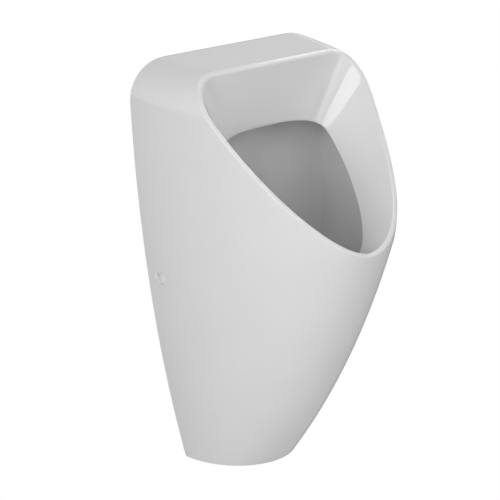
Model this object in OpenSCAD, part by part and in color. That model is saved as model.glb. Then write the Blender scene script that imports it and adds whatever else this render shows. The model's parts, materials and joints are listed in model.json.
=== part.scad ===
// Wall hung urinal with a slanted open rim, a concealed rear inlet and a concealed trap

/* [China body] */
// Height of the flat top above the base line, from which every level is taken
body_h = 575; // [540:1:610]
// Width across the sides at the top
body_w = 305; // [295:1:330]
// Reach of the front lip from the wall
lip_reach = 298; // [290:1:312]
// Level of the front lip above the base line
lip_level = 373; // [360:1:385]
// Width of the body at the base line
foot_w = 153; // [145:1:165]
// Reach of the body from the wall at the base line
foot_reach = 107.5; // [101:0.5:114]
// How far the bottom edge lies below the base line at the wall
foot_dip = 9.5; // [0:0.5:12]
// How far the bottom edge lies above the base line at the front
foot_lift = 11.5; // [0:0.5:14]
// Depth of the flat top from the wall
top_reach = 97; // [92:1:102]
// Radius of the two top corners
corner_r = 52; // [40:1:60]
// Thickness of the skirt that hides the trap
skirt_wall = 12; // [10:0.5:14]
// Fall from the flat top to the middle of the hook screws
hang_fall = 130; // [123:1:145]

/* [Rim and collar] */
// Width of the narrow band round the rim
rim_band = 5.5; // [4:0.5:8]
// Rounding of the rim's two edges
rim_round = 2.2; // [1.5:0.1:2.6]
// Fall from the flat top to the inner lip at the top of the opening
collar_top_fall = 89; // [83:1:95]
// How far the inner lip lies behind the front edge of the flat top
collar_top_in = 9; // [5:0.5:13]
// Fall from the front lip to the inner lip at the front
collar_front_fall = 19.5; // [15:0.5:27]
// How far the inner lip lies behind the front lip
collar_front_in = 40.5; // [36:0.5:48]
// Width of the opening inside the inner lip
inner_w = 163; // [150:1:170]
// Thickness of the collar
collar_wall = 12; // [10:0.5:14]

/* [Bowl] */
// Fall from the flat top to the bowl's ceiling behind the collar
ceiling_fall = 30; // [27:1:35]
// Reach of the bowl's back wall at the ceiling
back_top_reach = 34; // [32:1:36]
// How far the back wall low down lies in front of the back of the outlet's seat
back_low_out = 4; // [0:0.5:6]
// Level of the bowl's floor at the outlet
floor_level = 210; // [207:1:212]
// Thickness of the side walls beside the bowl
side_wall = 16; // [14:0.5:18]
// Thickness of the front wall before the bowl
front_wall = 14; // [13:0.5:16]
// Thickness of the floor at the outlet
floor_wall = 14; // [13:0.5:16]

/* [Outlet and trap] */
// How far the outlet's axis lies behind the body's reach at the base line
outlet_in = 7.5; // [5.5:0.5:9.5]
// Radius of the outlet hole in the china
outlet_r = 26; // [25:0.5:28]
// Gap between the outlet fitting's threaded tail and the outlet hole
tail_gap = 3; // [2:0.5:4]
// Wall of the outlet fitting's tail
tail_wall = 3; // [2:0.5:3.5]
// How far the outlet fitting's flange laps over the edge of the hole
flange_lap = 9; // [6:0.5:11]
// How far the trap's bottle stands out from its socket
shoulder_out = 8; // [6:0.5:10]
// Level of the trap's underside above the base line
bottle_level = 56; // [54:1:62]
// Outer radius of the waste pipe
waste_r = 20; // [18:0.5:21]
// Length of waste pipe that enters the wall
waste_in_wall = 40; // [25:1:60]
// Gap between the lift-out immersion tube and the tail round it
dip_gap = 3.5; // [3:0.5:5]

/* [Water inlet] */
// Fall from the flat top to the inlet's axis
inlet_fall = 60; // [58:1:63]
// Radius of the inlet hole in the china
inlet_r = 17.5; // [16:0.5:19]
// Radius of the flush pipe that the inlet seal takes
flush_pipe_r = 9; // [8:0.5:9.5]

/* [Fixings] */
// Distance between the two hook brackets
hook_spacing = 164; // [156:1:170]
// Distance between the two screw holes of a hook bracket
hook_hole_spacing = 22; // [18:1:26]
// Radius of the wall screw holes
wall_hole_r = 3.5; // [3:0.25:4]
// Thickness of the bracket steel
bracket_t = 3; // [2.5:0.5:3.5]
// Level of the side screws above the base line
side_screw_level = 288.5; // [284:0.5:293]
// Reach of the side screws from the wall
side_screw_reach = 29; // [27:0.5:31]
// Radius of the side screw's shank
side_screw_r = 3; // [2.5:0.25:3.5]
// Radius of the cover caps
cap_r = 9.5; // [8.5:0.25:10]

/* [Hidden] */
$fn = 96;

// Overrun of every cut
over = 1;
// Clearance between a piece and the hole that it passes through
slip = 0.3;

// Height of the body at which the levels are given, and how they follow another height
drawn_h = 575;
stretch = body_h / drawn_h;
lip_h = lip_level * stretch;
floor_h = floor_level * stretch;
bottle_low_h = bottle_level * stretch;
side_screw_h = side_screw_level * stretch;
inner_top_h = body_h - collar_top_fall;
inner_top_reach = top_reach - collar_top_in;
inner_front_h = lip_h - collar_front_fall;
inner_front_reach = lip_reach - collar_front_in;
ceiling_h = body_h - ceiling_fall;
inlet_h = body_h - inlet_fall;
hang_h = body_h - hang_fall;
outlet_reach = foot_reach - outlet_in;
flange_r = outlet_r + flange_lap;
tail_r = outlet_r - tail_gap;

// Curve shares of the side line and of the front line, from the base line up
side_line_shares = [1.898, -0.965];
front_line_shares = [1.429, -0.498];
// Fullness of the horizontal sections, at the base line and at the top
nose_shares = [2, 2.198];
cheek_shares = [2.359, 1.488];
// How far the front line runs on above the lip
front_carry = 4.1;
// Handles of the rim's side line: back end forward and down, front end up
rim_back_out = 77;
rim_back_down = 94;
rim_front_up = 21.6;
// Where the inner lip is widest, and the fullness of its curve above and below
inner_wide_share = 0.14;
inner_upper_shares = [2.65, 2.96];
inner_lower_shares = [1.7, 1.83];
// Angle of the inner lip's curve at which its side rows end, and how they crowd
lip_corner_a = 42;
lip_crowd_share = 0.93;

// Flat margin of the floor round the outlet flange
seat_margin = 3;
seat_r = flange_r + seat_margin;
back_low_reach = outlet_reach - seat_r + back_low_out;
// Where the bowl starts to turn in, between its floor and the inner lip at the front
turn_share = 0.404;
turn_h = floor_h + turn_share * (inner_front_h - floor_h);
// How far the collar's underside runs down beside the front lip and beside the sides
foot_drop = 18;
side_drop = 22;
// Rows that bend round the front below the collar, and how they crowd towards the centre line
nose_rows = 12;
nose_crowd_share = 1.4;
// Fall of the bowl's wall over the steps that run back below the ceiling, at the front
first_drop = 14;
// Height of the hollow's roof at the front above the underside of the outlet's floor
hollow_rise = 27;
// Flat margin of the hollow's roof round the outlet
hub_margin = 7;
// Angles round the hub at which the wall rows start and end
hub_wall_a = 150;
hub_corner_a = 165;
// Thickness of the back wall low down, against the skirt
back_wall_share = 1.3;
// Rounding of the inner lip
lip_round = 1.6;
// Angle round the outlet at which the bowl's back corners run out
ring_corner_a = 130;

// Rows run round the rim of one half: lip to top corner, then along the straight top
side_rows = 30;
top_rows = 5;
half_rows = side_rows + top_rows;
rows = 2 * half_rows;
// Share of the side rows that end on the wall, the others end on the bottom edge
wall_row_share = 0.6;
// How the rows on the wall crowd towards the top corner
wall_crowd_share = 1.7;

function mix(a, b, t) = a + (b - a) * t;
function unit(v) = v / norm(v);
function swell(u, s) = s[0] * u + s[1] * u * u + (1 - s[0] - s[1]) * u * u * u;
function ease(u) = let(c = min(max(u, 0), 1)) c * c * (3 - 2 * c);
function bezier(a, b, c, d, t) =
  a * pow(1 - t, 3) + 3 * b * pow(1 - t, 2) * t + 3 * c * (1 - t) * t * t + d * pow(t, 3);
function soft(a, corner, b) = (a + 2 * corner + b) / 4;

// Half width, reach and section of the outer skin at a height
function half_w(z) = mix(foot_w, body_w, swell(z / body_h, side_line_shares)) / 2;
function arc_drop(z, r) = let(o = max(z - (body_h - corner_r), 0)) r - sqrt(max(r * r - o * o, 0));
function lip_slope() = let(s = front_line_shares)
  (s[0] + 2 * s[1] + 3 * (1 - s[0] - s[1])) * (lip_reach - foot_reach) / lip_h;
function reach(z) = mix(foot_reach, lip_reach, swell(min(z / lip_h, 1), front_line_shares))
  + front_carry * (1 - exp(-max(z - lip_h, 0) * lip_slope() / front_carry));
function section(v, z) = let(u = z / body_h, m = mix(cheek_shares[0], cheek_shares[1], u))
  pow(max(1 - pow(min(max(v, 0), 1), m), 0), 1 / mix(nose_shares[0], nose_shares[1], u));
// A point of the skin, or of the surface a wall's thickness inside it: turn 0 at the wall, 1 at the nose
function skin(turn, z, wall, share = 1) = let(v = sin(90 * turn))
  [share * (half_w(z) - wall - arc_drop(z, corner_r - wall)) * section(v, z), (reach(z) - wall) * v, z];
function turn_at(f, z, wall) = asin(min(f / (reach(z) - wall), 1)) / 90;

// Place of a row on its half: 1 at the lip, 0 at the top corner, and its share of the straight top
function row_fall(i) = max(1 - i / side_rows, 0);
function top_share(i) = i <= side_rows ? 1 : (half_rows - i) / top_rows;

// The rim as a turn and a height on the skin
function rim_side(t) = bezier([top_reach, body_h], [top_reach + rim_back_out, body_h - rim_back_down],
  [lip_reach, lip_h + rim_front_up], [lip_reach, lip_h], t);
function rim_uv(i) = let(p = rim_side((1 - cos(180 * row_fall(i))) / 2)) [turn_at(p[0], p[1], 0), p[1]];
// The outer edge on the wall and along the sloping bottom, in the same way
function wall_fall(i) = min(row_fall(i) / wall_row_share, 1);
function foot_turn(i) = max(row_fall(i) - wall_row_share, 0) / (1 - wall_row_share);
function edge_share(i) = 1 - pow(wall_fall(i), wall_crowd_share);
function edge_low(i) = mix(-foot_dip, foot_lift, sin(90 * foot_turn(i)));
function edge_uv(i, top) = [foot_turn(i), mix(edge_low(i), top, edge_share(i))];
function on_skin(i, k) = let(p = mix(edge_uv(i, body_h), rim_uv(i), k)) skin(p[0], p[1], 0, top_share(i));

// The inner lip
function inner_fall(i) = i <= side_rows ? mix(lip_corner_a, 180, pow(row_fall(i), lip_crowd_share))
  : lip_corner_a * top_share(i);
function inner_lip(i) = let(a = inner_fall(i), up = a < 90,
  s = up ? inner_upper_shares : inner_lower_shares,
  c = pow(abs(cos(a)), 2 / s[0]),
  u = up ? inner_wide_share * (1 - c) : mix(inner_wide_share, 1, c))
  [inner_w / 2 * pow(sin(a), 2 / s[1]), mix(inner_top_reach, inner_front_reach, u),
   mix(inner_top_h, inner_front_h, u)];

// The bowl below the collar: side and front walls follow the skin, and the back wall is flat across
function back_reach(z) = mix(back_top_reach, back_low_reach, ease((ceiling_h - z) / (ceiling_h - turn_h + over)));
function bowl_half_w(z) = half_w(z) - side_wall;
function crease_turn(z) = asin(back_reach(z) / (reach(z) - front_wall)) / 90;
function bowl_turn(i, z) = mix(1, crease_turn(z), row_place[min(i, side_rows)]);
function bowl_at(turn, z, share) = let(v = sin(90 * turn))
  [share * bowl_half_w(z) * section(v, z), (reach(z) - front_wall) * v, z];
function bowl_side(i, z) = bowl_at(bowl_turn(i, z), z, top_share(i));
function ring(i, z) =
  let(a = i <= side_rows ? mix(ring_corner_a, 0, row_fall(i)) : mix(180, ring_corner_a, top_share(i)))
  [seat_r * sin(a), outlet_reach + seat_r * cos(a), z];
// Where the collar's underside meets the bowl, below and behind the rim
function foot_fall(i) = rim_side((1 - cos(180 * row_fall(i))) / 2);
function foot_z(i) = foot_fall(i)[1] - side_drop * sin(180 * row_fall(i))
  - mix(body_h - ceiling_h, lip_h - inner_front_h + foot_drop, row_fall(i));
function foot_straight(i) = let(f = foot_fall(i)[0] - (top_reach - inner_top_reach + collar_wall))
  asin(min(f / (reach(foot_z(i)) - front_wall), 1)) / 90;
function foot_bent(i) = mix(1, foot_straight(nose_rows), pow(i / nose_rows, nose_crowd_share));
function collar_foot(i) = bowl_at(i < nose_rows ? foot_bent(i) : foot_straight(i), foot_z(i), top_share(i));
function foot_turn_of(p) = asin(min(p[1] / (reach(p[2]) - front_wall), 1)) / 90;
foot_places = [for (i = [0 : side_rows]) let(p = collar_foot(i)) (1 - foot_turn_of(p)) / (1 - crease_turn(p[2]))];
row_place = foot_places / foot_places[side_rows];
// Steps 0 to 1 run back below the ceiling, 1 to 2 down the wall and 2 to 3 over the floor to the outlet
function bowl_path(i, s) = let(j = collar_foot(i), z = j[2] - first_drop * row_fall(i))
  s <= 1 ? let(h = mix(j[2], z, s)) bowl_at(mix(foot_turn_of(j), bowl_turn(i, h), s), h, top_share(i))
  : s <= 2 ? bowl_side(i, mix(z, turn_h, s - 1))
  : let(b = 90 * (s - 2), h = turn_h - (turn_h - floor_h) * sin(b)) mix(ring(i, h), bowl_side(i, h), cos(b));

// The hollow behind and below the bowl
hub_h = floor_h - floor_wall;
hub_r = seat_r + hub_margin;
under_h = hub_h + hollow_rise;
under_back_reach = back_low_reach - skirt_wall * back_wall_share;
under_top_reach = back_top_reach - skirt_wall;
top_in_h = body_h - skirt_wall;
function rear_reach(z) = mix(under_back_reach, under_top_reach, (z - hub_h) / (top_in_h - hub_h));
function under_uv(i) = let(z = mix(under_h, top_in_h, edge_share(i)), t = turn_at(rear_reach(z), z, skirt_wall))
  [mix(t, 1, foot_turn(i)), z];
function in_skirt(i, k) = let(p = mix(edge_uv(i, top_in_h), under_uv(i), k)) skin(p[0], p[1], skirt_wall, top_share(i));
function under_ring(i) = let(a = i <= side_rows ? mix(mix(hub_wall_a, hub_corner_a, 1 - wall_fall(i)), 0, foot_turn(i))
  : mix(180, hub_corner_a, top_share(i))) [hub_r * sin(a), outlet_reach + hub_r * cos(a), hub_h];
function under_bowl(i, k) = let(a = in_skirt(i, 1), b = under_ring(i), w = min(3 * foot_turn(i), 1),
  flat = 1 - sqrt(1 - pow(1 - k, 2)), h = mix(1 - k, flat, w))
  [mix(a[0], b[0], k), mix(a[1], b[1], k), mix(b[2], a[2], h)];

// Loops of the solid, from the outlet floor over the rim to the wall and round to the hub below
function whole(f) = [for (r = [0 : rows - 1]) let(p = f(r <= half_rows ? r : rows - r))
  [r <= half_rows ? p[0] : -p[0], p[1], p[2]]];
function near(loop, r, step) = loop[(r + step + rows) % rows];
rim_loop = whole(function(i) on_skin(i, 1));
lip_loop = whole(function(i) inner_lip(i));
rim_normal = unit([0, body_h - lip_h, lip_reach - top_reach]);
band_in = [for (r = [0 : rows - 1]) unit(cross(near(rim_loop, r, 1) - near(rim_loop, r, -1), rim_normal))];
band_loop = [for (r = [0 : rows - 1]) rim_loop[r] + rim_band * band_in[r]];
slope = [for (r = [0 : rows - 1]) unit(lip_loop[r] - band_loop[r])];
outward = [for (r = [0 : rows - 1])
  unit(cross(near(rim_loop, r, -1) - near(rim_loop, r, 1), slope[r]))];
function between(a, b, t) = [for (r = [0 : rows - 1]) mix(a[r], b[r], t)];
function moved(a, d, k) = [for (r = [0 : rows - 1]) a[r] + k * d[r]];
function soft_loop(a, c, b) = [for (r = [0 : rows - 1]) soft(a[r], c[r], b[r])];
rim_start = whole(function(i) on_skin(i, 1 - rim_round / norm(on_skin(i, 1) - on_skin(i, 0))));
rim_edge = moved(rim_loop, band_in, rim_round);
band_edge = moved(band_loop, band_in, -rim_round);
collar_start = moved(band_loop, slope, rim_round);
collar_end = moved(lip_loop, slope, -lip_round);
lip_back = moved(lip_loop, outward, -lip_round);
lip_under = moved(lip_loop, outward, -collar_wall);
// Steps of the loops over each stretch of the surface
bowl_step_shares = [3, 2.86, 2.7, 2.52, 2.34, 2.16, 2, 1.75, 1.5, 1.25, 1, 0.5, 0];
collar_step_shares = [0.75, 0.5, 0.25];
skin_step_shares = [1, 0.93, 0.85, 0.76, 0.66, 0.56, 0.45, 0.34, 0.22, 0.11, 0];
skirt_step_shares = [0, 0.33, 0.66, 1];
under_step_shares = [0.08, 0.2, 0.42, 0.7, 1];
function skin_loop(k) =
  whole(function(i) on_skin(i, k * (1 - rim_round / norm(on_skin(i, 1) - on_skin(i, 0)))));
china_loops = concat(
  [for (s = bowl_step_shares) whole(function(i) bowl_path(i, s))],
  [lip_under, lip_back, soft_loop(lip_back, lip_loop, collar_end), collar_end],
  [for (t = collar_step_shares) between(collar_start, collar_end, t)],
  [collar_start, soft_loop(collar_start, band_loop, band_edge), band_edge, rim_edge,
   soft_loop(rim_edge, rim_loop, rim_start)],
  [for (k = skin_step_shares) skin_loop(k)],
  [for (k = skirt_step_shares) whole(function(i) in_skirt(i, k))],
  [for (k = under_step_shares) whole(function(i) under_bowl(i, k))]);

// Carries a point from its reach to the wall frame, and a piece from the base line to the hook screws
function placed(p) = [p[0], -p[1], p[2]];
module hung() {
  translate([0, 0, -hang_h])
    children();
}

module skin_of(loops) {
  n = len(loops[0]);
  last = len(loops) - 1;
  polyhedron(
    [for (l = loops) for (p = l) placed(p)],
    concat(
      [[for (r = [n - 1 : -1 : 0]) r]],
      [for (l = [0 : last - 1]) for (r = [0 : n - 1]) let(a = l * n + r, b = l * n + (r + 1) % n)
        each [[a, b, a + n], [b, b + n, a + n]]],
      [[for (r = [0 : n - 1]) last * n + r]]));
}

// Turns a piece so that its own +Z points away from the wall, at a reach from the wall
module forward(x, from, z) {
  translate([x, -from, z])
    rotate([90, 0, 0])
      children();
}

// Turns a piece so that its own +Z points to the outer side, left at -1 and right at 1
module sideways(side, from, reach_out, z) {
  translate([side * from, -reach_out, z])
    rotate([0, side * 90, 0])
      children();
}

module disc(r, h) {
  cylinder(h = h, r = r);
}

module tube(r, bore, h) {
  difference() {
    cylinder(h = h, r = r);
    translate([0, 0, -over])
      cylinder(h = h + 2 * over, r = bore);
  }
}

module at_outlet(z) {
  translate([0, -outlet_reach, z])
    children();
}

// Outline of a dome on a straight foot
function dome(r, rise, foot) = [for (a = [0 : 10 : 90]) [r * cos(a), foot + rise * sin(a)]];

// Side fixing, from the outside in: cap, screw head, bush flange, china, bracket
side_x = skin(turn_at(side_screw_reach, side_screw_h, 0), side_screw_h, 0)[0];
cap_t = 3;
cap_fit = 0.3;
head_pocket_r = 7.5;
head_pocket = 8;
bush_r = 5;
bush_flange_t = 1.2;
screw_head_r = 5.5;
screw_head_t = 3;
screw_grip = 12;
spot_r = 18;
spot_stand_off = 2.4;
cap_seat_x = side_x - cap_t;
bush_seat_x = side_x - head_pocket;
spot_x = side_x - skirt_wall - spot_stand_off;
bracket_foot_w = 30;
side_bracket_h = 24;
bracket_leg = side_screw_reach + side_bracket_h / 2;

// Inlet group, from the wall out
boss_wall = 9.5;
boss_r = inlet_r + boss_wall;
boss_rear = 14;
boss_stand = 5;
boss_front = back_top_reach + boss_stand;
gasket_t = 2;
inlet_nut_t = 8;
connector_gap = 2;
connector_r = inlet_r - connector_gap;
connector_wall = 2.7;
connector_bore = connector_r - connector_wall;
connector_flange_r = boss_r - 2 * gasket_t;
connector_flange_t = 3;
connector_front = boss_front + gasket_t + connector_flange_t;
connector_rear = 2;
nozzle_r = connector_r + slip;
nozzle_gap = 10;
nozzle_l = inner_top_reach - collar_wall - nozzle_gap - connector_front;
nozzle_wall = 2.5;
nozzle_slot = 3;
seal_margin = 1;
seal_l = boss_rear - connector_rear - seal_margin;

// Hook group: lug on the china, hook on the wall
lug_w = 36;
lug_lip_t = 7;
lug_lip_drop = 18;
lug_arm_t = 12;
lug_root_t = 18;
lug_from = 5;
lug_into = 32;
hook_shelf = 24;
hook_pad_t = 3;
hook_w = 30;
hook_tip_h = 15;
hook_tip_gap = 2;
hook_plate_margin = 10;
shelf_z = hang_h + hook_shelf;
lug_z = shelf_z + hook_pad_t;

// Outlet and trap group, from the floor down
flange_t = 3.3;
tail_l = 64;
thread_t = 5;
socket_r = tail_r + thread_t;
bottle_r = socket_r + shoulder_out;
nut_wall = 4;
nut_lip = 4;
nut_rib = 2;
tail_nut_t = 11;
trap_nut_t = 20;
trap_nut_drop = 10;
trap_nut_gap = 2;
tail_gasket_t = 3;
seal_t = 4;
trap_wall = 3;
shoulder_h = 8;
cone_rise = 28;
bottle_foot_r = 26;
spigot_l = 16;
spigot_thread = 4;
waste_nut_t = 18;
waste_flange_t = 3;
bead_from = 2;
bead_t = 3;
bead_out = 2;
dip_wall = 2;
dip_r = tail_r - tail_wall - dip_gap;
dip_low_gap = 10;
dip_flange_t = 1.5;
strainer_inset = 5;
strainer_r = flange_r - strainer_inset;
strainer_foot = 4;
dip_flange_r = strainer_r - strainer_foot - gasket_t;
strainer_rise = 4.5;
strainer_crown = 2;
grate_rings = [[0, 1], [8, 6], [16, 12]];
grate_hole_r = 2.6;
fitting_z = floor_h + gasket_t;
grate_z = fitting_z + flange_t;
tail_low_z = fitting_z - tail_l;
tail_gasket_z = hub_h - tail_gasket_t;
tail_nut_z = tail_gasket_z - tail_nut_t;
trap_nut_z = tail_nut_z - trap_nut_drop - trap_nut_t;
socket_z = trap_nut_z + trap_nut_t - nut_lip - seal_t;
spigot_r = waste_r + spigot_thread;
spigot_reach = outlet_reach - bottle_r - spigot_l;
bottle_top_z = trap_nut_z - trap_nut_gap;
waste_h = bottle_top_z - spigot_r;
waste_end = spigot_reach - gasket_t;

module hook_lug(side) {
  translate([side * hook_spacing / 2 - lug_w / 2, 0, lug_z])
    rotate([90, 0, 90])
      linear_extrude(lug_w)
        polygon([[-lug_from, 0], [-lug_from - lug_lip_t, 0], [-lug_from - lug_lip_t, lug_lip_drop],
          [-lug_into, lug_lip_drop], [-lug_into, lug_lip_drop + lug_root_t],
          [-lug_from - lug_lip_t, lug_lip_drop + lug_arm_t], [-lug_from, lug_lip_drop + lug_arm_t]]);
}

module side_hole(side) {
  sideways(side, cap_seat_x, side_screw_reach, side_screw_h)
    disc(cap_r + cap_fit, head_pocket);
  sideways(side, bush_seat_x, side_screw_reach, side_screw_h)
    disc(head_pocket_r, head_pocket);
  sideways(side, spot_x - over, side_screw_reach, side_screw_h)
    disc(bush_r + slip, head_pocket + over);
  sideways(side, spot_x - spot_r / 2, side_screw_reach, side_screw_h)
    disc(spot_r, spot_r / 2);
}

module china_body() {
  color("white")
    hung()
      difference() {
        union() {
          skin_of(china_loops);
          forward(0, boss_rear, inlet_h)
            disc(boss_r, boss_front - boss_rear);
          hook_lug(-1);
          hook_lug(1);
        }
        at_outlet(hub_h - over)
          disc(outlet_r, floor_wall + 2 * over);
        forward(0, boss_rear - over, inlet_h)
          disc(inlet_r, boss_front - boss_rear + 2 * over);
        side_hole(-1);
        side_hole(1);
      }
}

module hook_bracket(side) {
  plate_low = hang_h - hook_hole_spacing / 2 - hook_plate_margin;
  tip_from = lug_from + lug_lip_t + hook_tip_gap;
  color("silver")
    hung()
      difference() {
        translate([side * hook_spacing / 2 - hook_w / 2, 0, 0])
          rotate([90, 0, 90])
            linear_extrude(hook_w)
              polygon([[0, plate_low], [-bracket_t, plate_low], [-bracket_t, shelf_z - bracket_t],
                [-tip_from - bracket_t, shelf_z - bracket_t], [-tip_from - bracket_t, shelf_z + hook_tip_h],
                [-tip_from, shelf_z + hook_tip_h], [-tip_from, shelf_z], [-bracket_t, shelf_z],
                [-bracket_t, shelf_z + hook_tip_h], [0, shelf_z + hook_tip_h]]);
        for (up = [-1, 1])
          forward(side * hook_spacing / 2, -over, hang_h + up * hook_hole_spacing / 2)
            disc(wall_hole_r, bracket_t + 2 * over);
      }
}

module hook_bracket_left() {
  hook_bracket(-1);
}

module hook_bracket_right() {
  hook_bracket(1);
}

module hook_pads() {
  color("dimgray")
    hung()
      for (side = [-1, 1])
        translate([side * hook_spacing / 2 - hook_w / 2, -lug_from - lug_lip_t - hook_tip_gap, shelf_z])
          cube([hook_w, lug_lip_t + lug_from + hook_tip_gap - bracket_t, hook_pad_t]);
}

module side_bracket(side) {
  color("silver")
    hung()
      difference() {
        translate([side > 0 ? spot_x - bracket_foot_w : -spot_x, 0, side_screw_h - side_bracket_h / 2])
          union() {
            translate([0, -bracket_t, 0])
              cube([bracket_foot_w, bracket_t, side_bracket_h]);
            translate([side > 0 ? bracket_foot_w - bracket_t : 0, -bracket_leg, 0])
              cube([bracket_t, bracket_leg, side_bracket_h]);
          }
        sideways(side, spot_x - bracket_t - over, side_screw_reach, side_screw_h)
          disc(side_screw_r + slip, bracket_t + 2 * over);
        forward(side * (spot_x - bracket_foot_w / 2), -over, side_screw_h)
          disc(wall_hole_r, bracket_t + 2 * over);
      }
}

module side_bracket_left() {
  side_bracket(-1);
}

module side_bracket_right() {
  side_bracket(1);
}

module side_bushes() {
  color("whitesmoke")
    hung()
      for (side = [-1, 1])
        difference() {
          union() {
            sideways(side, spot_x, side_screw_reach, side_screw_h)
              disc(bush_r, bush_seat_x - spot_x + bush_flange_t);
            sideways(side, bush_seat_x, side_screw_reach, side_screw_h)
              disc(head_pocket_r - slip, bush_flange_t);
          }
          sideways(side, spot_x - over, side_screw_reach, side_screw_h)
            disc(side_screw_r + slip, head_pocket + skirt_wall);
        }
}

module side_screws() {
  color("lightgray")
    hung()
      for (side = [-1, 1]) {
        sideways(side, spot_x - screw_grip, side_screw_reach, side_screw_h)
          disc(side_screw_r, bush_seat_x + bush_flange_t + screw_head_t / 2 - spot_x + screw_grip);
        sideways(side, bush_seat_x + bush_flange_t, side_screw_reach, side_screw_h)
          difference() {
            disc(screw_head_r, screw_head_t);
            translate([0, 0, screw_head_t / 2])
              cylinder(h = screw_head_t, r = screw_head_r / 2, $fn = 6);
          }
      }
}

module cover_cap(side) {
  crown = cap_t / 3;
  color("gainsboro")
    hung()
      sideways(side, cap_seat_x, side_screw_reach, side_screw_h)
        rotate_extrude()
          union() {
            polygon(concat([[0, 0], [cap_r, 0]], dome(cap_r, crown, cap_t - crown)));
            translate([screw_head_r + slip, -cap_t])
              square([head_pocket_r - screw_head_r - 2 * slip, cap_t + over]);
          }
}

module cover_cap_left() {
  cover_cap(-1);
}

module cover_cap_right() {
  cover_cap(1);
}

module spreader() {
  color("lightgray")
    hung()
      forward(0, connector_front, inlet_h)
        difference() {
          union() {
            disc(nozzle_r, nozzle_l - nozzle_wall);
            translate([0, 0, nozzle_l - nozzle_wall])
              cylinder(h = nozzle_wall, r1 = nozzle_r, r2 = nozzle_r - nozzle_wall);
          }
          translate([0, 0, -over])
            disc(nozzle_r - nozzle_wall, nozzle_l - nozzle_wall + over);
          for (step = [1 : 3])
            translate([-nozzle_r, -nozzle_r - over, step * nozzle_l / 5])
              cube([2 * nozzle_r, nozzle_r, nozzle_slot / 2]);
        }
}

module spreader_gasket() {
  color("dimgray")
    hung()
      forward(0, boss_front, inlet_h)
        tube(connector_flange_r, connector_r + slip, gasket_t);
}

module inlet_connector() {
  color("goldenrod")
    hung()
      difference() {
        union() {
          forward(0, connector_rear, inlet_h)
            disc(connector_r, boss_front + gasket_t - connector_rear + over);
          forward(0, boss_front + gasket_t, inlet_h)
            disc(connector_flange_r, connector_flange_t);
        }
        forward(0, connector_rear - over, inlet_h)
          disc(connector_bore, connector_front + 2 * over);
      }
}

module inlet_gasket() {
  color("dimgray")
    hung()
      forward(0, boss_rear - gasket_t, inlet_h)
        tube(connector_flange_r, connector_r + slip, gasket_t);
}

module inlet_nut() {
  color("goldenrod")
    hung()
      forward(0, boss_rear - gasket_t - inlet_nut_t, inlet_h)
        difference() {
          cylinder(h = inlet_nut_t, r = boss_r - gasket_t, $fn = 6);
          translate([0, 0, -over])
            disc(connector_r + slip / 3, inlet_nut_t + 2 * over);
        }
}

module inlet_seal() {
  color("dimgray")
    hung()
      forward(0, connector_rear, inlet_h)
        tube(connector_bore, flush_pipe_r, seal_l);
}

module outlet_fitting() {
  color("silver")
    hung()
      at_outlet(0)
        difference() {
          union() {
            translate([0, 0, tail_low_z])
              disc(tail_r, tail_l + over);
            translate([0, 0, fitting_z])
              cylinder(h = flange_t, r1 = flange_r, r2 = flange_r - flange_t / 2);
          }
          translate([0, 0, tail_low_z - over])
            disc(tail_r - tail_wall, tail_l + flange_t + 2 * over);
        }
}

module outlet_gasket() {
  color("dimgray")
    hung()
      at_outlet(floor_h)
        tube(flange_r - gasket_t, outlet_r, gasket_t);
}

module tail_gasket() {
  color("dimgray")
    hung()
      at_outlet(tail_gasket_z)
        tube(tail_r + nut_wall + nut_rib, tail_r + slip, hub_h - tail_gasket_z);
}

// A round nut with finger ribs: it turns over a thread and its lip holds what passes through it
module ribbed_nut(thread_r, bore, h, lip, ribs = 8) {
  outer = thread_r + nut_wall;
  difference() {
    union() {
      disc(outer, h);
      for (k = [0 : ribs - 1])
        rotate(360 * k / ribs)
          translate([outer - over, -nut_wall / 2, 0])
            cube([nut_rib + over, nut_wall, h]);
    }
    translate([0, 0, -over])
      disc(bore, h + 2 * over);
    translate([0, 0, -over])
      disc(thread_r, h - lip + over);
  }
}

module tail_nut() {
  color("whitesmoke")
    hung()
      at_outlet(tail_nut_z)
        ribbed_nut(tail_r + slip / 3, tail_r + slip / 3, tail_nut_t, nut_lip);
}

// A dome over the outlet: its foot ring rests on the fitting, and its holes stand in rings
module strainer() {
  color("silver")
    hung()
      at_outlet(grate_z)
        difference() {
          rotate_extrude()
            polygon(concat([[0, 0], [strainer_r, 0]], dome(strainer_r, strainer_rise, over)));
          translate([0, 0, -over])
            rotate_extrude()
              polygon(concat([[0, 0], [strainer_r - strainer_foot, 0]],
                dome(strainer_r - strainer_foot, strainer_crown, dip_flange_t + over)));
          for (ring = grate_rings)
            for (k = [0 : ring[1] - 1])
              rotate(360 * k / ring[1])
                translate([ring[0], 0, -over])
                  disc(grate_hole_r, strainer_rise + 3 * over);
        }
}

module immersion_tube() {
  low = bottle_low_h + trap_wall + dip_low_gap;
  color("whitesmoke")
    hung()
      at_outlet(low)
        difference() {
          union() {
            disc(dip_r, grate_z - low + dip_flange_t);
            translate([0, 0, grate_z - low])
              disc(dip_flange_r, dip_flange_t);
          }
          translate([0, 0, -over])
            disc(dip_r - dip_wall, grate_z - low + dip_flange_t + 2 * over);
        }
}

module tube_seal() {
  color("dimgray")
    hung()
      at_outlet(trap_nut_z + trap_nut_t)
        tube(tail_r - tail_wall - slip / 2, dip_r, seal_t);
}

module trap_nut() {
  color("whitesmoke")
    hung()
      at_outlet(trap_nut_z)
        ribbed_nut(socket_r + slip / 3, tail_r + slip / 3, trap_nut_t, nut_lip);
}

module trap_seal() {
  color("dimgray")
    hung()
      at_outlet(socket_z)
        tube(socket_r, tail_r, seal_t);
}

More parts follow.
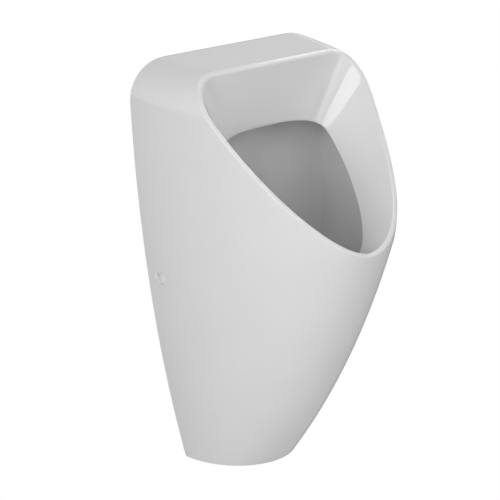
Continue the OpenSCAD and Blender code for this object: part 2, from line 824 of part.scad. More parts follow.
module trap_body() {
  low = bottle_low_h;
  shoulder_z = bottle_top_z - shoulder_h;
  color("whitesmoke")
    hung()
      difference() {
        union() {
          at_outlet(low)
            cylinder(h = cone_rise, r1 = bottle_foot_r, r2 = bottle_r);
          at_outlet(low + cone_rise)
            disc(bottle_r, shoulder_z - low - cone_rise);
          at_outlet(shoulder_z)
            cylinder(h = shoulder_h, r1 = bottle_r, r2 = socket_r);
          at_outlet(bottle_top_z)
            disc(socket_r, socket_z - bottle_top_z);
          forward(0, spigot_reach, waste_h)
            disc(spigot_r, spigot_l + bottle_r / 2);
        }
        at_outlet(low + trap_wall)
          cylinder(h = cone_rise - trap_wall, r1 = bottle_foot_r - trap_wall, r2 = bottle_r - trap_wall);
        at_outlet(low + cone_rise - slip)
          disc(bottle_r - trap_wall, shoulder_z - low - cone_rise - trap_wall);
        at_outlet(low + cone_rise)
          disc(tail_r + slip, socket_z - low);
        forward(0, spigot_reach - over, waste_h)
          disc(waste_r - trap_wall, spigot_l + bottle_r / 2);
      }
}

module waste_nut() {
  color("whitesmoke")
    hung()
      forward(0, waste_end - waste_flange_t - nut_lip + waste_nut_t, waste_h)
        rotate([180, 0, 0])
          ribbed_nut(spigot_r + slip / 3, waste_r + slip / 3, waste_nut_t, nut_lip);
}

module waste_seal() {
  color("dimgray")
    hung()
      forward(0, waste_end, waste_h)
        tube(spigot_r, waste_r - trap_wall, gasket_t);
}

module waste_pipe() {
  color("whitesmoke")
    hung()
      difference() {
        union() {
          forward(0, -waste_in_wall, waste_h)
            disc(waste_r, waste_end + waste_in_wall);
          forward(0, bead_from, waste_h)
            disc(waste_r + bead_out, bead_t);
          forward(0, waste_end - waste_flange_t, waste_h)
            disc(spigot_r, waste_flange_t);
        }
        forward(0, -waste_in_wall - over, waste_h)
          disc(waste_r - trap_wall, waste_end + waste_in_wall + 2 * over);
      }
}

china_body();
hook_bracket_left();
hook_bracket_right();
hook_pads();
side_bracket_left();
side_bracket_right();
side_bushes();
side_screws();
cover_cap_left();
cover_cap_right();
spreader();
spreader_gasket();
inlet_connector();
inlet_gasket();
inlet_nut();
inlet_seal();
outlet_fitting();
outlet_gasket();
tail_gasket();
tail_nut();
strainer();
immersion_tube();
tube_seal();
trap_nut();
trap_seal();
trap_body();
waste_nut();
waste_seal();
waste_pipe();
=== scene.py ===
import json
import math

import bmesh
import bpy
from bpy.props import FloatProperty, FloatVectorProperty, IntProperty, PointerProperty
from mathutils import Matrix, Vector

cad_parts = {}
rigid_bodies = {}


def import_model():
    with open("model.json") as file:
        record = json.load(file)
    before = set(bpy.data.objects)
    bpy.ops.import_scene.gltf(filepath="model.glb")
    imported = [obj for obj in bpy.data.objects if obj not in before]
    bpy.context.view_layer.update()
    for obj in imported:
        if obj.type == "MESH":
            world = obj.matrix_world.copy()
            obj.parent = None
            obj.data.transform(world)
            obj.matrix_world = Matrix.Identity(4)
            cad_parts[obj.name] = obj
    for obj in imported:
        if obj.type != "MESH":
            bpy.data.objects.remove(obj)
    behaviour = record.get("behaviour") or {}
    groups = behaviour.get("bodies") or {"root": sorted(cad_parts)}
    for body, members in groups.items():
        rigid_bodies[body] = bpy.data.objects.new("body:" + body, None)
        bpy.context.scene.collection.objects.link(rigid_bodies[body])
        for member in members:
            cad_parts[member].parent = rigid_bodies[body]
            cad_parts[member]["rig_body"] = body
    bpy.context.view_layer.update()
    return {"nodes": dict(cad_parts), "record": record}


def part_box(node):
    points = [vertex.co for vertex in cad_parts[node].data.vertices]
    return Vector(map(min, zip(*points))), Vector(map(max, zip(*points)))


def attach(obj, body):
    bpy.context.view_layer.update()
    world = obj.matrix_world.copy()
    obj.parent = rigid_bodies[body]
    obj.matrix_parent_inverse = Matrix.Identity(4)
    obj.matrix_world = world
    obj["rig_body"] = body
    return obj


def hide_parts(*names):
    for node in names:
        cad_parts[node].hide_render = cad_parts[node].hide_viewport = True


bl_info = {
    "name": "Wall Hung Urinal",
    "version": (1, 0, 0),
    "blender": (4, 5, 0),
    "location": "View3D > Sidebar > Urinal",
    "description": "Builds a glazed china wall hung urinal with its fixings, inlet, trap and studio",
    "category": "Add Mesh",
}

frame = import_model()

# Height of the china's flat top above the base line, from which the shape's heights are taken
BODY_H = 0.575
BASE_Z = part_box("china_body")[1].z - BODY_H
MM = 0.001
# Edges that turn by more than this are sharp
SHARP = math.radians(40)
# Sides of a turned piece, and of a small one
ROUND_SIDES = 96
SMALL_SIDES = 64

# Curve shares of the side line and of the front line, from the base line up
SIDE_LINE_SHARES = (1.898, -0.965)
FRONT_LINE_SHARES = (1.429, -0.498)
# Fullness of the horizontal sections, at the base line and at the top
NOSE_SHARES = (2, 2.198)
CHEEK_SHARES = (2.359, 1.488)
# Fullness of the inner lip above and below its widest point
INNER_UPPER_SHARES = (2.65, 2.96)
INNER_LOWER_SHARES = (1.7, 1.83)


def mix(a, b, t):
    return a + (b - a) * t


def swell(u, shares):
    return shares[0] * u + shares[1] * u ** 2 + (1 - sum(shares)) * u ** 3


def ease(u):
    c = min(max(u, 0), 1)
    return c * c * (3 - 2 * c)


def bend(a, corner, b, t):
    """A point of the soft arc that leaves a for the corner and ends at b."""
    return a * (1 - t) ** 2 + corner * (2 * t * (1 - t)) + b * t ** 2


def steps(a, b, count):
    """Evenly spaced values after a, up to and with b."""
    return [mix(a, b, (k + 1) / count) for k in range(count)]


class ChinaShape:
    """The urinal's surface. A point is x, reach from the wall, and height above the base line."""

    side_rows = 30
    top_rows = 5
    wall_row_share = 0.6
    wall_crowd_share = 1.7
    nose_rows = 12
    nose_crowd_share = 1.4
    lip_corner = math.radians(42)
    lip_crowd_share = 0.93
    inner_wide_share = 0.14
    ring_corner = math.radians(130)
    hub_wall = math.radians(150)
    hub_corner = math.radians(165)
    back_wall_share = 1.3
    roof_flat_gain = 3
    # Rows over which the bowl's back corners are rounded
    crease_rows = 0.9
    # Loops of the mesh from one edge to the next
    floor_loops, wall_loops, ceiling_loops = 26, 26, 8
    collar_loops, collar_back_loops, rounding_loops = 20, 8, 6
    skin_loops, edge_loops, hollow_loops = 64, 5, 16

    def __init__(self, sizes):
        for name in ChinaSizes.__annotations__:
            setattr(self, name, getattr(sizes, name))
        self.half_rows = self.side_rows + self.top_rows
        self.seat_r = self.flange_r + self.seat_margin
        self.hub_h = self.floor_h - self.floor_wall
        self.hub_r = self.seat_r + self.hub_margin
        self.under_h = self.hub_h + self.hollow_rise
        self.top_in_h = self.body_h - self.skirt_wall
        self.last_place = self.foot_place(self.collar_foot(self.side_rows))

    def half_w(self, z):
        return mix(self.foot_w, self.body_w, swell(z / self.body_h, SIDE_LINE_SHARES)) / 2

    def arc_drop(self, z, r):
        over = max(z - (self.body_h - self.corner_r), 0)
        return r - math.sqrt(max(r * r - over * over, 0))

    def lip_slope(self):
        a, b = FRONT_LINE_SHARES
        return (a + 2 * b + 3 * (1 - a - b)) * (self.lip_reach - self.foot_reach) / self.lip_h

    def reach(self, z):
        run_on = 1 - math.exp(-max(z - self.lip_h, 0) * self.lip_slope() / self.front_carry)
        line = swell(min(z / self.lip_h, 1), FRONT_LINE_SHARES)
        return mix(self.foot_reach, self.lip_reach, line) + self.front_carry * run_on

    def section(self, v, z):
        u = z / self.body_h
        cheek = mix(*CHEEK_SHARES, u)
        nose = mix(*NOSE_SHARES, u)
        return max(1 - min(max(v, 0), 1) ** cheek, 0) ** (1 / nose)

    def skin(self, turn, z, wall=0.0, share=1.0):
        v = math.sin(math.pi / 2 * turn)
        half = self.half_w(z) - wall - self.arc_drop(z, self.corner_r - wall)
        return Vector((share * half * self.section(v, z), (self.reach(z) - wall) * v, z))

    def turn_at(self, f, z, wall):
        return math.asin(min(f / (self.reach(z) - wall), 1)) / (math.pi / 2)

    def row_fall(self, i):
        return max(1 - i / self.side_rows, 0)

    def top_share(self, i):
        return 1 if i <= self.side_rows else (self.half_rows - i) / self.top_rows

    def rim_side(self, i):
        """Reach and height of the rim at a row: a curve from the top corner down to the lip."""
        t = (1 - math.cos(math.pi * self.row_fall(i))) / 2
        points = (
            (self.top_reach, self.body_h),
            (self.top_reach + self.rim_back_out, self.body_h - self.rim_back_down),
            (self.lip_reach, self.lip_h + self.rim_front_up),
            (self.lip_reach, self.lip_h),
        )
        weights = ((1 - t) ** 3, 3 * (1 - t) ** 2 * t, 3 * (1 - t) * t * t, t ** 3)
        return tuple(sum(w * p[k] for w, p in zip(weights, points)) for k in (0, 1))

    def wall_fall(self, i):
        return min(self.row_fall(i) / self.wall_row_share, 1)

    def foot_turn(self, i):
        return max(self.row_fall(i) - self.wall_row_share, 0) / (1 - self.wall_row_share)

    def edge_share(self, i):
        return 1 - self.wall_fall(i) ** self.wall_crowd_share

    def edge(self, i, top):
        """Turn and height of the edge: up the wall, or along the bottom, which slopes up to the front."""
        turn = self.foot_turn(i)
        low = mix(-self.foot_dip, self.foot_lift, math.sin(math.pi / 2 * turn))
        return turn, mix(low, top, self.edge_share(i))

    def on_skin(self, i, k):
        """From the edge at the wall and the bottom, at 0, to the rim, at 1."""
        f, h = self.rim_side(i)
        turn, z = self.edge(i, self.body_h)
        return self.skin(mix(turn, self.turn_at(f, h, 0), k), mix(z, h, k), 0, self.top_share(i))

    def inner_lip(self, i):
        fall = self.row_fall(i) ** self.lip_crowd_share
        a = self.lip_corner * self.top_share(i)
        if i <= self.side_rows:
            a = mix(self.lip_corner, math.pi, fall)
        upper = a < math.pi / 2
        shares = INNER_UPPER_SHARES if upper else INNER_LOWER_SHARES
        c = abs(math.cos(a)) ** (2 / shares[0])
        u = self.inner_wide_share * (1 - c) if upper else mix(self.inner_wide_share, 1, c)
        return Vector((self.inner_w / 2 * max(math.sin(a), 0) ** (2 / shares[1]),
                       mix(self.inner_top_reach, self.inner_front_reach, u),
                       mix(self.inner_top_h, self.inner_front_h, u)))

    def back_reach(self, z):
        return mix(self.back_top_reach, self.back_low_reach,
                   ease((self.ceiling_h - z) / (self.ceiling_h - self.turn_h + MM)))

    def crease_turn(self, z):
        return self.turn_at(self.back_reach(z), z, self.front_wall)

    def bowl_at(self, turn, z, share):
        v = math.sin(math.pi / 2 * turn)
        return Vector((share * (self.half_w(z) - self.side_wall) * self.section(v, z),
                       (self.reach(z) - self.front_wall) * v, z))

    def foot_z(self, i):
        fall = self.row_fall(i)
        down = mix(self.body_h - self.ceiling_h, self.lip_h - self.inner_front_h + self.foot_drop, fall)
        return self.rim_side(i)[1] - down - self.side_drop * math.sin(math.pi * fall)

    def foot_straight(self, i):
        f = self.rim_side(i)[0] - (self.top_reach - self.inner_top_reach + self.collar_wall)
        return self.turn_at(f, self.foot_z(i), self.front_wall)

    def collar_foot(self, i):
        """Where the collar's underside meets the bowl."""
        if i < self.nose_rows:
            turn = mix(1, self.foot_straight(self.nose_rows), (i / self.nose_rows) ** self.nose_crowd_share)
        else:
            turn = self.foot_straight(i)
        return self.bowl_at(turn, self.foot_z(i), self.top_share(i))

    def foot_turn_of(self, p):
        return self.turn_at(p.y, p.z, self.front_wall)

    def foot_place(self, p):
        return (1 - self.foot_turn_of(p)) / (1 - self.crease_turn(p.z))

    def bowl_turn(self, i, z):
        place = self.foot_place(self.collar_foot(min(i, self.side_rows))) / self.last_place
        return mix(1, self.crease_turn(z), place)

    def ring_angle(self, i):
        if i <= self.side_rows:
            return mix(self.ring_corner, 0, self.row_fall(i))
        return mix(math.pi, self.ring_corner, self.top_share(i))

    def hub_angle(self, i):
        if i <= self.side_rows:
            return mix(mix(self.hub_wall, self.hub_corner, 1 - self.wall_fall(i)), 0, self.foot_turn(i))
        return mix(math.pi, self.hub_corner, self.top_share(i))

    def round_outlet(self, a, r, z):
        return Vector((r * math.sin(a), self.outlet_reach + r * math.cos(a), z))

    def bowl_raw(self, i, s):
        j = self.collar_foot(i)
        z = j.z - self.first_drop * self.row_fall(i)
        share = self.top_share(i)
        if s <= 1:
            h = mix(j.z, z, s)
            return self.bowl_at(mix(self.foot_turn_of(j), self.bowl_turn(i, h), s), h, share)
        if s <= 2:
            h = mix(z, self.turn_h, s - 1)
            return self.bowl_at(self.bowl_turn(i, h), h, share)
        b = math.pi / 2 * (s - 2)
        h = self.turn_h - (self.turn_h - self.floor_h) * math.sin(b)
        wall = self.bowl_at(self.bowl_turn(i, h), h, share)
        return mix(self.round_outlet(self.ring_angle(i), self.seat_r, h), wall, math.cos(b))

    def bowl(self, i, s):
        """The bowl's wall, with its back corners rounded over a few rows."""
        a, b = self.side_rows - self.crease_rows, self.side_rows + self.crease_rows / 2
        if not a < i < b:
            return self.bowl_raw(i, s)
        near, corner, far = (self.bowl_raw(k, s) for k in (a, self.side_rows, b))
        return bend(near, corner, far, (i - a) / (b - a))

    def rear_reach(self, z):
        low = self.back_low_reach - self.skirt_wall * self.back_wall_share
        high = self.back_top_reach - self.skirt_wall
        return mix(low, high, (z - self.hub_h) / (self.top_in_h - self.hub_h))

    def in_skirt(self, i, k):
        """The skirt's inside, from the edge at 0 to the hollow's back wall at 1."""
        turn, z = self.edge(i, self.top_in_h)
        h = mix(self.under_h, self.top_in_h, self.edge_share(i))
        t = mix(self.turn_at(self.rear_reach(h), h, self.skirt_wall), 1, self.foot_turn(i))
        return self.skin(mix(turn, t, k), mix(z, h, k), self.skirt_wall, self.top_share(i))

    def under_bowl(self, i, k):
        """The hollow's roof, from the back wall at 0 to the hub round the outlet at 1."""
        a, b = self.in_skirt(i, 1), self.round_outlet(self.hub_angle(i), self.hub_r, self.hub_h)
        flat = 1 - math.sqrt(1 - (1 - k) ** 2)
        h = mix(1 - k, flat, min(self.roof_flat_gain * self.foot_turn(i), 1))
        return Vector((mix(a.x, b.x, k), mix(a.y, b.y, k), mix(b.z, a.z, h)))


def china_loops(shape, per_row):
    """Loops of points round the opening, from the bowl's floor over the rim to the wall and back below."""
    half = shape.half_rows * per_row
    places = [k / per_row for k in range(half + 1)]
    places += places[-2:0:-1]
    count = len(places)

    def whole(point):
        right = {i: point(i) for i in set(places)}
        return [Vector((right[i].x if k <= half else -right[i].x, right[i].y, right[i].z))
                for k, i in enumerate(places)]

    def moved(loop, ways, far):
        return [p + far * w for p, w in zip(loop, ways)]

    def across(loop, k):
        return loop[(k + 1) % count] - loop[k - 1]

    def bent(a, corner, b, number):
        return [[bend(p, c, q, t) for p, c, q in zip(a, corner, b)] for t in steps(0, 1, number)[:-1]]

    def between(a, b, number):
        return [[mix(p, q, t) for p, q in zip(a, b)] for t in steps(0, 1, number)[:-1]]

    rim = whole(lambda i: shape.on_skin(i, 1))
    lip = whole(shape.inner_lip)
    normal = Vector((0, shape.body_h - shape.lip_h, shape.lip_reach - shape.top_reach)).normalized()
    inward = [across(rim, k).cross(normal).normalized() for k in range(count)]
    band = moved(rim, inward, shape.rim_band)
    slope = [(q - p).normalized() for p, q in zip(band, lip)]
    outward = [(-across(rim, k)).cross(slope[k]).normalized() for k in range(count)]

    def skin_share(i, size):
        return size / (shape.on_skin(i, 1) - shape.on_skin(i, 0)).length

    skin = [whole(lambda i, k=k: shape.on_skin(i, k * (1 - skin_share(i, shape.rim_round))))
            for k in [1] + steps(1, 0, shape.skin_loops)]
    rim_edge = moved(rim, inward, shape.rim_round)
    band_edge = moved(band, inward, -shape.rim_round)
    collar_start = moved(band, slope, shape.rim_round)
    collar_end = moved(lip, slope, -shape.lip_round)
    lip_back = moved(lip, outward, -shape.lip_round)
    lip_under = moved(lip, outward, -shape.collar_wall)
    bowl = [whole(lambda i, s=s: shape.bowl(i, s))
            for s in [3] + steps(3, 2, shape.floor_loops) + steps(2, 1, shape.wall_loops)
            + steps(1, 0, shape.ceiling_loops)]
    hollow = steps(0, 1, shape.hollow_loops)
    inner = [whole(lambda i, k=k: shape.in_skirt(i, k)) for k in [0] + hollow]
    under = [whole(lambda i, k=k: shape.under_bowl(i, k)) for k in hollow]
    edge = skin[-1]
    edge_in = moved(edge, [(q - p).normalized() for p, q in zip(edge, inner[0])], shape.edge_round)
    edge_out = whole(lambda i: shape.on_skin(i, skin_share(i, shape.edge_round)))
    while (skin[-1][0] - edge[0]).length < shape.edge_round:
        skin.pop()
    fillet = shape.edge_round / 2
    turns = [math.pi / 2 * t for t in (0, 0.33, 0.66, 1)]
    quarter = [(fillet * (1 - math.sin(a)), fillet * (1 - math.cos(a))) for a in turns]
    low, high, r = shape.hub_h, shape.floor_h, shape.outlet_r
    # Share of the way up from the hub to the floor, radius and height of each ring round the outlet
    rings = (
        [(0, mix(shape.hub_r, r + fillet, t), low) for t in (0.5, 0.9)]
        + [(0, r + out, low + up) for out, up in quarter]
        + [(t, r, mix(low + fillet, high - fillet, t)) for t in (0.25, 0.5, 0.75)]
        + [(1, r + out, high - down) for down, out in quarter]
        + [(1, mix(r + fillet, shape.seat_r, t), high) for t in (0.1, 0.5)]
    )
    bore = [whole(lambda i, share=share, r=r, z=z: shape.round_outlet(
        mix(shape.hub_angle(i), shape.ring_angle(i), share), r, z)) for share, r, z in rings]
    return (
        bowl
        + between(bowl[-1], lip_under, shape.collar_back_loops)
        + [lip_under] + between(lip_under, lip_back, shape.collar_back_loops)
        + [lip_back] + bent(lip_back, lip, collar_end, shape.rounding_loops)
        + [collar_end] + between(collar_end, collar_start, shape.collar_loops)
        + [collar_start] + bent(collar_start, band, band_edge, shape.rounding_loops)
        + [band_edge, rim_edge] + bent(rim_edge, rim, skin[0], shape.rounding_loops) + skin
        + [edge_out] + bent(edge_out, edge, edge_in, shape.edge_loops)
        + [edge_in] + inner + under + bore
    )


def linear(code):
    """A colour picker's sRGB hex value as linear light."""
    parts = [int(code[k:k + 2], 16) / 255 for k in (1, 3, 5)]
    return tuple(c / 12.92 if c <= 0.04045 else ((c + 0.055) / 1.055) ** 2.4 for c in parts) + (1,)


def add_node(tree, kind, links=None, **settings):
    """Adds a node, sets its properties and inputs, and links outputs or whole nodes to it."""
    node = tree.nodes.new(kind)
    for name, value in settings.items():
        setattr(node, name, value)
    for name, value in (links or {}).items():
        if isinstance(value, bpy.types.Node):
            value = next(socket for socket in value.outputs if socket.enabled)
        if isinstance(value, bpy.types.NodeSocket):
            tree.links.new(value, node.inputs[name])
        else:
            node.inputs[name].default_value = value
    return node


def new_material(name):
    material = bpy.data.materials.new(name)
    material.use_nodes = True
    material.node_tree.nodes.clear()
    return material, material.node_tree


def glaze(look):
    """Vitreous china with a poured and fired tin white glaze: a deep gloss over a faintly wavy body."""
    material, tree = new_material("vitreous_china_glaze")
    place = add_node(tree, "ShaderNodeTexCoord").outputs["Object"]
    # Slow waves of the glaze, and the orange peel of the fired surface, drawn coarser than life
    wave_size, peel_size = 60 * MM, 3 * MM
    waves = add_node(tree, "ShaderNodeTexNoise", {"Vector": place, "Scale": 1 / wave_size, "Detail": 1.0})
    peel = add_node(tree, "ShaderNodeTexNoise", {"Vector": place, "Scale": 1 / peel_size, "Detail": 0.0})
    low = add_node(tree, "ShaderNodeBump", {"Height": waves, "Distance": 0.2 * MM, "Strength": 0.25})
    fine = add_node(tree, "ShaderNodeBump", {
        "Height": peel, "Distance": 0.01 * MM, "Strength": 0.15, "Normal": low})
    tint = add_node(tree, "ShaderNodeMix", {
        "Factor": waves, "A": (*look.glaze, 1), "B": (*look.glaze_wave, 1)}, data_type="RGBA")
    # The face against the wall is wiped free of glaze before firing
    axes = add_node(tree, "ShaderNodeSeparateXYZ", {"Vector": place})
    bare = add_node(tree, "ShaderNodeMath", {0: axes.outputs["Y"], 1: -0.6 * MM}, operation="GREATER_THAN")
    base = add_node(tree, "ShaderNodeMix", {
        "Factor": bare, "A": tint, "B": (*look.bare_china, 1)}, data_type="RGBA")
    rough = add_node(tree, "ShaderNodeMapRange", {"Value": bare, "To Min": 0.05, "To Max": 0.8})
    shader = add_node(tree, "ShaderNodeBsdfPrincipled", {
        "Base Color": base, "Roughness": rough, "Normal": fine, "IOR": 1.52})
    add_node(tree, "ShaderNodeOutputMaterial", {"Surface": shader})
    return material


def plain(name, base, roughness, metallic=0.0, spread=0.06):
    """A moulded, turned or plated finish: one colour with a 2 mm grain in its gloss and its surface."""
    material, tree = new_material(name)
    # The grain of the mould or of the plating, drawn coarser than life
    grain, half = 2 * MM, spread / 2
    place = add_node(tree, "ShaderNodeTexCoord").outputs["Object"]
    noise = add_node(tree, "ShaderNodeTexNoise", {"Vector": place, "Scale": 1 / grain, "Detail": 3.0})
    bump = add_node(tree, "ShaderNodeBump", {"Height": noise, "Distance": grain / 100, "Strength": 0.5})
    rough = add_node(tree, "ShaderNodeMapRange", {
        "Value": noise, "To Min": roughness - half, "To Max": roughness + half})
    shader = add_node(tree, "ShaderNodeBsdfPrincipled", {
        "Base Color": (*base, 1), "Metallic": metallic, "Roughness": rough, "Normal": bump})
    add_node(tree, "ShaderNodeOutputMaterial", {"Surface": shader})
    return material


def outward(mesh):
    """Turns all faces outwards."""
    work = bmesh.new()
    work.from_mesh(mesh)
    bmesh.ops.recalc_face_normals(work, faces=work.faces)
    if work.calc_volume(signed=True) < 0:
        bmesh.ops.reverse_faces(work, faces=work.faces)
    work.to_mesh(mesh)
    work.free()


def shade(mesh):
    """Smooth faces with sharp edges where they turn by much."""
    mesh.shade_smooth()
    mesh.set_sharp_from_angle(angle=SHARP)


def mesh_object(name, points, faces, material):
    """A piece whose place is in its mesh, with its faces turned outwards."""
    mesh = bpy.data.meshes.new(name)
    mesh.from_pydata([tuple(p) for p in points], [], faces)
    outward(mesh)
    mesh.materials.append(material)
    shade(mesh)
    piece = bpy.data.objects.new(name, mesh)
    bpy.context.scene.collection.objects.link(piece)
    return piece


def rounded(points, radius=0.0004, cuts=4):
    """An outline with its corners rounded. A point is a pair, or a pair and its own rounding.

    A rounding takes up less than half of a side.
    """
    ends = [Vector(p[:2]) for p in points]
    found = []
    for k, point in enumerate(points):
        at, before, after = ends[k], ends[k - 1], ends[(k + 1) % len(ends)]
        shortest = min((before - at).length, (after - at).length)
        size = min(point[2] if len(point) > 2 else radius, 0.45 * shortest)
        if size <= 0:
            found.append(at)
            continue
        a, b = at + size * (before - at).normalized(), at + size * (after - at).normalized()
        found += [bend(a, at, b, t / cuts) for t in range(cuts + 1)]
    return found


def rod(r, low, high, edge=0.0):
    return rounded([(0, low, 0), (r, low), (r, high), (0, high, 0)], edge)


def sleeve(bore, r, high, edge=0.0004):
    return rounded([(bore, 0), (r, 0), (r, high), (bore, high)], edge)


class Thread:
    """A thread wound on the stretch of a turned piece at radius r, between two heights."""

    rows_per_turn = 6

    def __init__(self, r, start, end, pitch, depth):
        self.r, self.start, self.end, self.pitch, self.depth = r, start, end, pitch, depth

    def rows(self, profile):
        """The profile with the rows that the thread needs."""
        found = []
        for a, b in zip(profile, profile[1:] + profile[:1]):
            found.append(a)
            if abs(a[0] - self.r) + abs(b[0] - self.r) < 1e-6:
                count = int(self.rows_per_turn * abs(b[1] - a[1]) / self.pitch)
                found += [(self.r, mix(a[1], b[1], k / count)) for k in range(1, count)]
        return found

    def fall(self, r, h, a):
        """How deep the thread is at a height and an angle."""
        if abs(r - self.r) > 1e-6 or not self.start < h < self.end:
            return 0
        fade = min((h - self.start) / self.pitch, (self.end - h) / self.pitch, 1)
        return self.depth * fade * (1 - math.cos(2 * math.pi * h / self.pitch - a)) / 2


def turned(name, profile, place, material, sides=ROUND_SIDES, thread=None):
    """A piece turned on a lathe: profile holds radius and height pairs, place puts +Z in the frame."""
    rings = []
    points = []
    for r, h in thread.rows(profile) if thread else profile:
        if r < 1e-7:
            rings.append([len(points)])
            points.append(place @ Vector((0, 0, h)))
        else:
            rings.append(list(range(len(points), len(points) + sides)))
            for a in (2 * math.pi * k / sides for k in range(sides)):
                at = r - (thread.fall(r, h, a) if thread else 0)
                points.append(place @ Vector((at * math.cos(a), at * math.sin(a), h)))
    faces = []
    for low, high in zip(rings, rings[1:] + rings[:1]):
        for k in range(sides):
            low_edge = [low[k % len(low)], low[(k + 1) % len(low)]]
            high_edge = [high[(k + 1) % len(high)], high[k % len(high)]]
            face = list(dict.fromkeys(low_edge + high_edge))
            if len(face) > 2:
                faces.append(face)
    return mesh_object(name, points, faces, material)


def straight(name, outline, length_of, place, material):
    """A piece with one outline all along: place puts the outline's plane and its own +Z in the frame."""
    count = len(outline)
    points = [place @ Vector((p[0], p[1], h)) for h in (0, length_of) for p in outline]
    faces = [tuple(range(count)), tuple(range(2 * count - 1, count - 1, -1))]
    faces += [(k, (k + 1) % count, count + (k + 1) % count, count + k) for k in range(count)]
    return mesh_object(name, points, faces, material)


# A slight turn of a cutter about its own axis, which keeps its edges off the edges that it cuts
OFF_GRID = Matrix.Rotation(0.017, 4, "Z")


def from_side(x):
    """Place of an outline of reach and height that runs along +X from x."""
    return Matrix(((0, 0, 1, x), (-1, 0, 0, 0), (0, 1, 0, 0), (0, 0, 0, 1)))


def from_above(z):
    """Place of an outline of x and reach that runs up from z."""
    return Matrix(((1, 0, 0, 0), (0, -1, 0, 0), (0, 0, 1, z), (0, 0, 0, 1)))


def upright(node):
    """Place, radius and length of a CAD node turned about a vertical axis."""
    low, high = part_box(node)
    middle = (low + high) / 2
    return Matrix.Translation((middle.x, middle.y, low.z)), (high.x - low.x) / 2, high.z - low.z


def facing_wall(node):
    """Place, radius and length of a CAD node turned about an axis out of the wall, from its end there."""
    low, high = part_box(node)
    middle = (low + high) / 2
    place = Matrix.Translation((middle.x, high.y, middle.z)) @ Matrix.Rotation(math.pi / 2, 4, "X")
    return place, (high.x - low.x) / 2, high.y - low.y


def facing_side(side, x):
    """Place of a piece on the side screw's axis, with its own +Z out of the left or the right side."""
    low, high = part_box("cover_cap_right")
    middle = (low + high) / 2
    return Matrix.Translation((side * x, middle.y, middle.z)) @ Matrix.Rotation(side * math.pi / 2, 4, "Y")


def applied(piece):
    """Applies a piece's modifiers to its mesh."""
    graph = bpy.context.evaluated_depsgraph_get()
    mesh = bpy.data.meshes.new_from_object(piece.evaluated_get(graph))
    piece.modifiers.clear()
    old = piece.data
    piece.data = mesh
    bpy.data.meshes.remove(old)
    mesh.name = piece.name
    return piece


def cut(piece, cutter, how="DIFFERENCE"):
    """Cuts, adds or meets a closed helper shape, and removes the helper."""
    modifier = piece.modifiers.new("cut", "BOOLEAN")
    modifier.operation = how
    modifier.solver = "MANIFOLD"
    modifier.object = cutter
    applied(piece)
    bpy.data.objects.remove(cutter)
    return piece


def cut_turned(piece, name, profile, place, how="DIFFERENCE", sides=ROUND_SIDES, thread=None):
    """Cuts, adds or meets a turned shape with the piece's own finish."""
    return cut(piece, turned(name, profile, place, piece.data.materials[0], sides, thread), how)


def soften(piece, width, segments=2):
    """Bevels every sharp edge."""
    modifier = piece.modifiers.new("edges", "BEVEL")
    modifier.width = width
    modifier.segments = segments
    modifier.limit_method = "ANGLE"
    modifier.angle_limit = SHARP
    return applied(piece)


def ring_array_group():
    """Node group that stands copies of a shape in rings round the Z axis. Ring 0 is one copy."""
    tree = bpy.data.node_groups.new("ring_array", "GeometryNodeTree")
    for label, kind in (("Shape", "Geometry"), ("Ring Spacing", "Float"), ("Copies in Ring 1", "Int"),
                        ("First Ring", "Int"), ("Rings", "Int"), ("Finish", "Material")):
        tree.interface.new_socket(label, in_out="INPUT", socket_type="NodeSocket" + kind)
    tree.interface.new_socket("Result", in_out="OUTPUT", socket_type="NodeSocketGeometry")
    given = add_node(tree, "NodeGroupInput").outputs
    stop = tree.nodes.new("GeometryNodeRepeatOutput")
    start = tree.nodes.new("GeometryNodeRepeatInput")
    start.pair_with_output(stop)
    tree.links.new(given["Rings"], start.inputs["Iterations"])
    maths = "ShaderNodeMath"
    ring = add_node(tree, maths, {0: start.outputs["Iteration"], 1: given["First Ring"]}, operation="ADD")
    copies = add_node(tree, maths, {0: ring, 1: given["Copies in Ring 1"]}, operation="MULTIPLY")
    copies = add_node(tree, maths, {0: copies, 1: 1.0}, operation="MAXIMUM")
    far = add_node(tree, maths, {0: ring, 1: given["Ring Spacing"]}, operation="MULTIPLY")
    index = add_node(tree, "GeometryNodeInputIndex")
    share = add_node(tree, maths, {0: index, 1: copies}, operation="DIVIDE")
    angle = add_node(tree, maths, {0: share, 1: 2 * math.pi}, operation="MULTIPLY")
    across = add_node(tree, maths, {0: angle}, operation="COSINE")
    along = add_node(tree, maths, {0: angle}, operation="SINE")
    way = add_node(tree, "ShaderNodeCombineXYZ", {"X": across, "Y": along})
    place = add_node(tree, "ShaderNodeVectorMath", {0: way, "Scale": far}, operation="SCALE")
    points = add_node(tree, "GeometryNodePoints", {"Count": copies, "Position": place})
    turn = add_node(tree, "ShaderNodeCombineXYZ", {"Z": angle})
    stood = add_node(tree, "GeometryNodeInstanceOnPoints", {
        "Points": points, "Instance": given["Shape"], "Rotation": turn})
    both = add_node(tree, "GeometryNodeJoinGeometry")
    tree.links.new(start.outputs["Geometry"], both.inputs[0])
    tree.links.new(stood.outputs["Instances"], both.inputs[0])
    tree.links.new(both.outputs[0], stop.inputs["Geometry"])
    real = add_node(tree, "GeometryNodeRealizeInstances", {"Geometry": stop.outputs["Geometry"]})
    finish = add_node(tree, "GeometryNodeSetMaterial", {"Geometry": real, "Material": given["Finish"]})
    add_node(tree, "NodeGroupOutput", {"Result": finish})
    return tree


